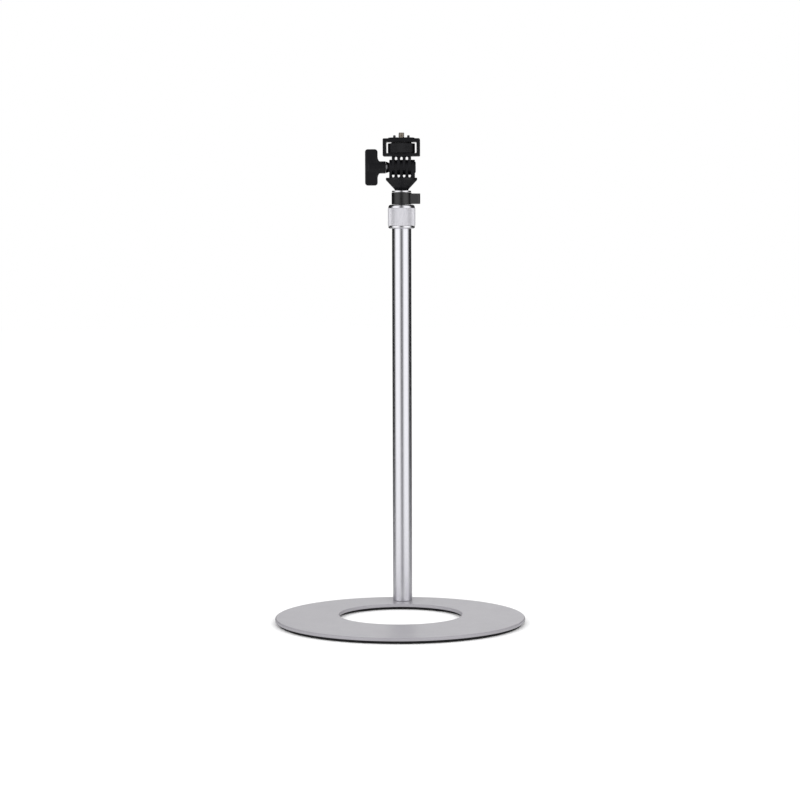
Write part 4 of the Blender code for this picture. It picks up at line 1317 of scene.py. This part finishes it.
@dataclass
class Cradle:
    """The upper fingers with the frame, the pad and the two pins."""

    comb: Comb
    hinge: Span = span_of("hinge_top")
    pad: Span = span_of("seat_pad")
    fingers: int = 4
    corner: float = 0.0012
    floor: float = 0.0032
    wall: float = 0.00345
    roof: float = 0.0037
    frame_height: float = 0.0183
    window_corner: float = 0.0009
    web: float = 0.0004
    root_width: float = 0.0027
    screw_room: float = 0.003475
    pad_corner: float = 0.003
    pad_rim: float = 0.00045
    crown_steps: int = 6
    crown_reach: float = 0.85
    pin_tip: float = 0.0012
    pin_dome: float = 0.0004
    dome_turn: float = 75.0
    frame_edge: float = 0.00028
    pad_edge: float = 0.0001

    def build(self) -> None:
        """Makes the four pieces."""
        self.make_frame().hand_in(Body.CRADLE, BLACK_NYLON, "hinge_top")
        self.make_pad().hand_in(Body.CRADLE, RUBBER, "seat_pad", smooth=50)
        for side in ("left", "right"):
            self.make_pin(side).hand_in(Body.CRADLE, BLACKENED, f"seat_pin_{side}")

    def make_frame(self) -> Workpiece:
        """Makes the upper half of the hinge, about the tilt axis.

        Returns:
            The frame with its fingers.
        """
        half, deep = self.hinge.radius, self.hinge.size.y / 2
        top = self.hinge.high.z - TILT_AXIS.z
        low = top - self.frame_height
        frame_block = Workpiece.block("cradle_frame", (-half, -deep, low), (half, deep, top))

        def along_depth(edge: bmesh.types.BMEdge) -> bool:
            """Tells whether an edge runs through the frame from front to back."""
            return run(edge, "y") > deep

        frame_block.bevel(self.corner, segments=6, wanted=along_depth)
        window = Workpiece.block("window", (self.wall - half, -deep - OVER, low + self.floor),
                                 (half - self.wall, deep + OVER, top - self.roof))
        frame_block.combine(window.bevel(self.window_corner, segments=5, wanted=along_depth))
        finger = self.comb.slot - 2 * self.comb.side_play
        reach = ((self.fingers - 1) * self.comb.pitch + finger) / 2
        fingers = self.comb.knuckle_block("fingers", -reach, reach, low + self.floor / 2)
        widths = (self.comb.pitch - finger, self.root_width)
        self.comb.cut_slots(fingers, self.fingers, widths, low - self.web, self.comb.knuckle + GAP)
        self.comb.drill(fingers, -reach - OVER, reach + OVER)
        frame_block.combine(fingers, Cut.JOIN)
        bore = Workpiece.rod("bore", self.screw_room, low + self.floor / 2, top + OVER, Facets.BORE)
        frame_block.combine(bore).soften(self.frame_edge, segments=3)
        return frame_block.place(TILT_AXIS)

    def make_pad(self) -> Workpiece:
        """Makes the slightly crowned pad, with holes for the screw and the pins.

        Returns:
            The pad.
        """
        pad_half = self.pad.size / 2
        crown = self.pad.size.z - self.pad_rim
        pad = Workpiece.block("top_pad", (-pad_half.x, -pad_half.y, 0),
                              (pad_half.x, pad_half.y, self.pad_rim))

        def upright(edge: bmesh.types.BMEdge) -> bool:
            """Tells whether an edge stands at one of the pad's four corners."""
            return run(edge, "z") > GAP

        pad.bevel(self.pad_corner, segments=8, wanted=upright)
        inset = pad_half.y * self.crown_reach / self.crown_steps
        with pad.editing():
            pad.pick(Part.FACES, lambda face: face.normal.z > UPWARD)
            for step in range(self.crown_steps):
                left, rest = 1 - step / self.crown_steps, 1 - (step + 1) / self.crown_steps
                bpy.ops.mesh.extrude_region_move(TRANSFORM_OT_translate={
                    "value": (0, 0, crown * (left ** 2 - rest ** 2))})
                shrink = [1 - inset / (half - step * inset) for half in pad_half.xy]
                bpy.ops.transform.resize(value=(*shrink, 1), center_override=(0, 0, 0))
        hole = Workpiece.rod("hole", self.screw_room, -OVER, OVER, Facets.BORE)
        pad.combine(hole)
        for side in ("left", "right"):
            pin = Span.of(f"seat_pin_{side}")
            reach = pin.radius + GAP
            room = Workpiece.rod("pin_room", reach, -OVER, OVER, Facets.PIN_ROOM)
            pad.combine(room.place((pin.centre.x - POLE_AXIS.x, 0, 0)))
        return pad.soften(self.pad_edge).place((self.pad.centre.x, self.pad.centre.y, self.pad.low.z))

    def make_pin(self, side: str) -> Workpiece:
        """Makes one of the two tapered pins.

        Args:
            side: Left or right, as in the pin's name.

        Returns:
            The pin.
        """
        pin = Span.of(f"seat_pin_{side}")
        low, high, pad_top = pin.low.z, pin.high.z, self.pad.high.z
        dome = arc((0, high - self.pin_dome), (self.pin_tip, self.pin_dome), 0, self.dome_turn, steps=5)
        piece = Workpiece.turned(f"pin_{side}", [
            (pin.radius - GAP, low), (pin.radius, low + GAP), (pin.radius, pad_top), *dome,
        ], Facets.PIN)
        return piece.place((pin.centre.x, pin.centre.y, 0))


@dataclass
class Thumbwheel:
    """The wheel in the frame's window, the washer above it and the screw that they turn."""

    wheel: Span = span_of("thumbwheel")
    washer: Span = span_of("thrust_washer")
    screw: Span = span_of("light_screw")
    ridges: int = 84
    ridge_depth: float = 0.0002
    skirt: float = 0.0005
    edge: float = 0.0006
    screw_room: float = 0.003475
    pilot_radius: float = 0.002
    pitch: float = 0.00127
    thread_depth: float = 0.0007
    thread_root: float = 0.00028
    thread_angle: float = 30.0
    thread_steps: int = 40
    turns: int = 9
    groove_overrun: float = 0.00008
    washer_edge: float = 0.00012

    def build(self) -> None:
        """Makes the three pieces."""
        self.make_wheel().hand_in(Body.WHEEL, BLACK_NYLON, "thumbwheel", smooth=50)
        washer = Workpiece.sleeve("wheel_washer", (self.screw_room, self.washer.radius),
                                  self.washer.low.z, self.washer.high.z)
        washer.soften(self.washer_edge).on_pole()
        washer.hand_in(Body.WHEEL, BLACK_NYLON, "thrust_washer")
        self.make_screw().hand_in(Body.WHEEL, DULL_BRASS, "light_screw", smooth=30)

    def make_wheel(self) -> Workpiece:
        """Makes the wheel, with rounded rims and a finely ridged edge.

        Returns:
            The wheel.
        """
        radius, height = self.wheel.radius, self.wheel.size.z + self.skirt
        edge = self.edge
        wheel = Workpiece.turned("knurled_wheel", [
            (self.screw_room, 0), *arc((radius - edge, edge), (edge, edge), -90, 0, steps=5),
            *arc((radius - edge, height - edge), (edge, edge), 0, 90, steps=5), (self.screw_room, height),
        ], RIDGE_COLUMNS * self.ridges, bored=True)
        wheel.press_ridges(self.ridges, radius - edge / 3, self.ridge_depth)
        return wheel.on_pole(self.wheel.low.z - self.skirt)

    def make_screw(self) -> Workpiece:
        """Makes the screw: a turned rod with a helical groove cut round it.

        Returns:
            The screw.
        """
        radius, low, high = self.screw.radius, self.screw.low.z, self.screw.high.z
        shoulder = self.wheel.low.z
        screw = Workpiece.turned("camera_screw", [
            (self.pilot_radius, low), (self.pilot_radius, shoulder), (radius, shoulder),
            (radius, high - self.thread_depth), (radius - self.thread_depth, high),
        ], Facets.ROD)
        depth = self.thread_depth + self.groove_overrun
        outer = self.thread_root / 2 + depth * math.tan(math.radians(self.thread_angle))
        middle = radius + self.groove_overrun - depth / 2
        Workpiece.clear()
        bpy.ops.mesh.primitive_plane_add(size=1, location=(middle, 0, 0), rotation=(math.radians(90), 0, 0))
        bpy.context.object.scale = (depth, 2 * outer, 1)
        groove = Workpiece("groove")
        with groove.editing():
            groove.pick(Part.VERTS, lambda vert: vert.co.x < radius - self.thread_depth / 2)
            bpy.ops.transform.resize(value=(1, 1, self.thread_root / 2 / outer), center_override=(0, 0, 0))
            bpy.ops.mesh.select_all(action="SELECT")
            bpy.ops.mesh.delete(type="ONLY_FACE")
        groove.modify("SCREW", axis="Z", angle=2 * math.pi, screw_offset=self.pitch, iterations=self.turns,
                      steps=self.thread_steps, render_steps=self.thread_steps, use_merge_vertices=False,
                      use_smooth_shade=False)
        with groove.editing():
            bpy.ops.mesh.fill_holes(sides=0)
            bpy.ops.mesh.select_all(action="SELECT")
            bpy.ops.mesh.normals_make_consistent(inside=False)
        groove.place((0, 0, high - (self.turns - 1) * self.pitch))
        screw.combine(groove)
        return screw.on_pole()


@dataclass
class InnerPieces:
    """The pieces inside, which keep their solids and get their finishes."""

    finishes: dict[str, Finish] = field(default_factory=lambda: {
        "foot_plug": TURNED, "lock_collet": NATURAL_NYLON, "guide_bush": NATURAL_NYLON,
        "mast_stud": PLATED_STEEL, "lever_nut": DULL_BRASS, "base_insert": DULL_BRASS, "knob_nut": DULL_BRASS,
    })

    def build(self) -> None:
        """Dresses each of them."""
        for node, finish in self.finishes.items():
            materials = frame["nodes"][node].data.materials
            materials.clear()
            materials.append(finish.material())
            LOG.info("%s: dressed in %s", node, finish.slot.value)


@dataclass
class Studio:
    """The camera, the white surroundings with their soft boxes and dark flags, the floor and the lamps."""

    distance: float = 2.300
    eye_height: float = 0.38606
    azimuth: float = 1.507
    tilt: float = 4.196
    roll: float = 0.164
    turn: float = 0.0116
    focal_length: float = 104.297
    sensor: float = 36.0
    floor_radius: float = 7.0
    floor_tone: float = 0.57
    ambient: float = 1.0
    bands: Stops = ((0.0, 0.16), (0.03, 0.19), (0.07, 0.40), (0.135, 0.95), (0.18, 1.14), (0.38, 1.14),
                    (0.46, 0.70), (0.53, 0.12), (0.57, 0.03), (0.93, 0.02), (0.97, 1.0))
    floor_fade: Stops = ((0.0, 0.84), (0.1, 0.68), (0.2, 0.515), (0.3, 0.376), (0.4, 0.265), (0.5, 0.178),
                         (0.6, 0.115), (0.8, 0.043), (1.0, 0.014))
    fade_reach: float = 2.5
    overhead: Stops = ((0.55, 0.85), (1.0, 0.45))
    underneath: Stops = ((-0.08, 0.0), (0.905, 1.0))
    lamp_size: float = 1.2
    lamp_power: float = 9.0
    lamp_offset: float = 1.5
    lamp_front: float = -1.3
    lamp_height: float = 1.3
    lamp_aim: float = 0.25

    def build(self) -> None:
        """Sets up the whole studio."""
        bpy.context.scene.view_settings.view_transform = "Standard"
        self.make_camera()
        self.make_surroundings()
        self.make_floor()
        for name, side in (("soft_lamp_left", -1), ("soft_lamp_right", 1)):
            self.make_lamp(name, (side * self.lamp_offset, self.lamp_front, self.lamp_height))
        LOG.info("studio: ready")

    def make_camera(self) -> None:
        """Sets the camera at the photograph's viewpoint, level with the stand's upper half."""
        azimuth, tilt = math.radians(self.azimuth), math.radians(self.tilt)
        level = Vector((-math.sin(azimuth), math.cos(azimuth), 0))
        right = Vector((math.cos(azimuth), math.sin(azimuth), 0))
        forward = level * math.cos(tilt) - Vector((0, 0, math.sin(tilt)))
        eye = Vector((0, 0, Span.of("base_plate").high.z + self.eye_height)) - level * self.distance
        bpy.ops.object.camera_add(location=eye)
        camera = bpy.context.object
        camera.name = "camera"
        camera.data.sensor_width = self.sensor
        camera.data.lens = self.focal_length
        axes = Matrix((right, right.cross(forward), -forward)).transposed()
        aimed = Matrix.Rotation(-math.radians(self.turn), 3, "Z") @ axes
        aimed = aimed @ Matrix.Rotation(-math.radians(self.roll), 3, "Z")
        camera.matrix_world = Matrix.Translation(eye) @ aimed.to_4x4()
        bpy.context.scene.camera = camera

    def make_surroundings(self) -> None:
        """Makes the world: white behind the stand, and soft boxes and dark flags in what it mirrors."""
        world = bpy.data.worlds.new("studio")
        world.use_nodes = True
        world.cycles.sampling_method = "NONE"
        bpy.context.scene.world = world
        board = NodeBoard(world.node_tree)
        output = world.node_tree.nodes["World Output"]
        world.node_tree.nodes.remove(world.node_tree.nodes["Background"])
        direction = board.add("SeparateXYZ", {0: board.add("TexCoord").outputs["Generated"]})
        sideways = board.math("ABSOLUTE", direction.outputs[0])
        facing = board.math("MULTIPLY", direction.outputs[1], -1.0)
        around = board.math("DIVIDE", board.math("ARCTAN2", sideways, facing), math.pi)
        boxes = board.ramp(around, self.bands)
        overhead = board.spread(direction.outputs[2], *self.overhead)
        underneath = board.spread(direction.outputs[2], *self.underneath)
        level = board.math("MULTIPLY", overhead, underneath)
        mirrored = board.add("Background", {"Color": boxes, "Strength": level}).outputs[0]
        seen = board.add("Background", {"Color": WHITE, "Strength": 1.0}).outputs[0]
        soft = board.add("Background", {"Color": WHITE, "Strength": self.ambient}).outputs[0]
        path = board.add("LightPath")
        straight = board.math("MAXIMUM", path.outputs["Is Camera Ray"], path.outputs["Is Transmission Ray"])
        lit = board.add("MixShader", {0: path.outputs["Is Glossy Ray"], 1: soft, 2: mirrored}).outputs[0]
        whole = board.add("MixShader", {0: straight, 1: lit, 2: seen}).outputs[0]
        world.node_tree.links.new(whole, output.inputs["Surface"])

    def make_floor(self) -> None:
        """Makes the white floor, which keeps the stand's shadow and fades out in what the stand mirrors."""
        Workpiece.clear()
        bpy.ops.mesh.primitive_circle_add(vertices=Facets.RIM, radius=self.floor_radius, fill_type="NGON",
                                          location=(0, 0, -GAP))
        floor = Workpiece("floor").item
        material = bpy.data.materials.new("white_floor")
        material.use_nodes = True
        board = NodeBoard(material.node_tree)
        material.node_tree.nodes.remove(material.node_tree.nodes["Principled BSDF"])
        output = material.node_tree.nodes["Material Output"]
        path = board.add("LightPath")
        seen = board.add("BsdfDiffuse", {"Color": WHITE}).outputs[0]
        near = board.add("BsdfDiffuse", {"Color": (self.floor_tone,) * 3 + (1,)}).outputs[0]
        clear = board.add("BsdfTransparent").outputs[0]
        reach = board.add("VectorMath", {0: board.own_place()}, operation="LENGTH")
        fade = board.ramp(board.math("DIVIDE", reach.outputs["Value"], self.fade_reach), self.floor_fade)
        mirrored = board.add("MixShader", {0: fade, 1: clear, 2: near}).outputs[0]
        whole = board.add("MixShader", {0: path.outputs["Is Glossy Ray"], 1: seen, 2: mirrored}).outputs[0]
        material.node_tree.links.new(whole, output.inputs["Surface"])
        floor.data.materials.append(material)

    def make_lamp(self, name: str, location: Place) -> None:
        """Adds one soft lamp that points at the stand's middle and isn't mirrored.

        Args:
            name: The lamp's name.
            location: Where it hangs.
        """
        Workpiece.clear()
        bpy.ops.object.light_add(type="AREA", location=location)
        lamp = bpy.context.object
        lamp.name = name
        lamp.data.size = self.lamp_size
        lamp.data.energy = self.lamp_power
        beam = Vector((0, 0, self.lamp_aim)) - Vector(location)
        lamp.rotation_euler = beam.to_track_quat("-Z", "Y").to_euler()
        lamp.visible_glossy = False


def main() -> None:
    """Builds the studio and every piece, logging each piece as it is made."""
    logging.basicConfig(level=logging.INFO, format="%(name)s: %(message)s")
    comb = Comb()
    assemblies = (Studio(), RingBase(), Pole(), TwistCollar(), Mast(), LockLever(), TiltHead(comb),
                  TiltKnob(), Cradle(comb), Thumbwheel(), InnerPieces())
    for assembly in assemblies:
        assembly.build()


if __name__ == "__main__":
    main()
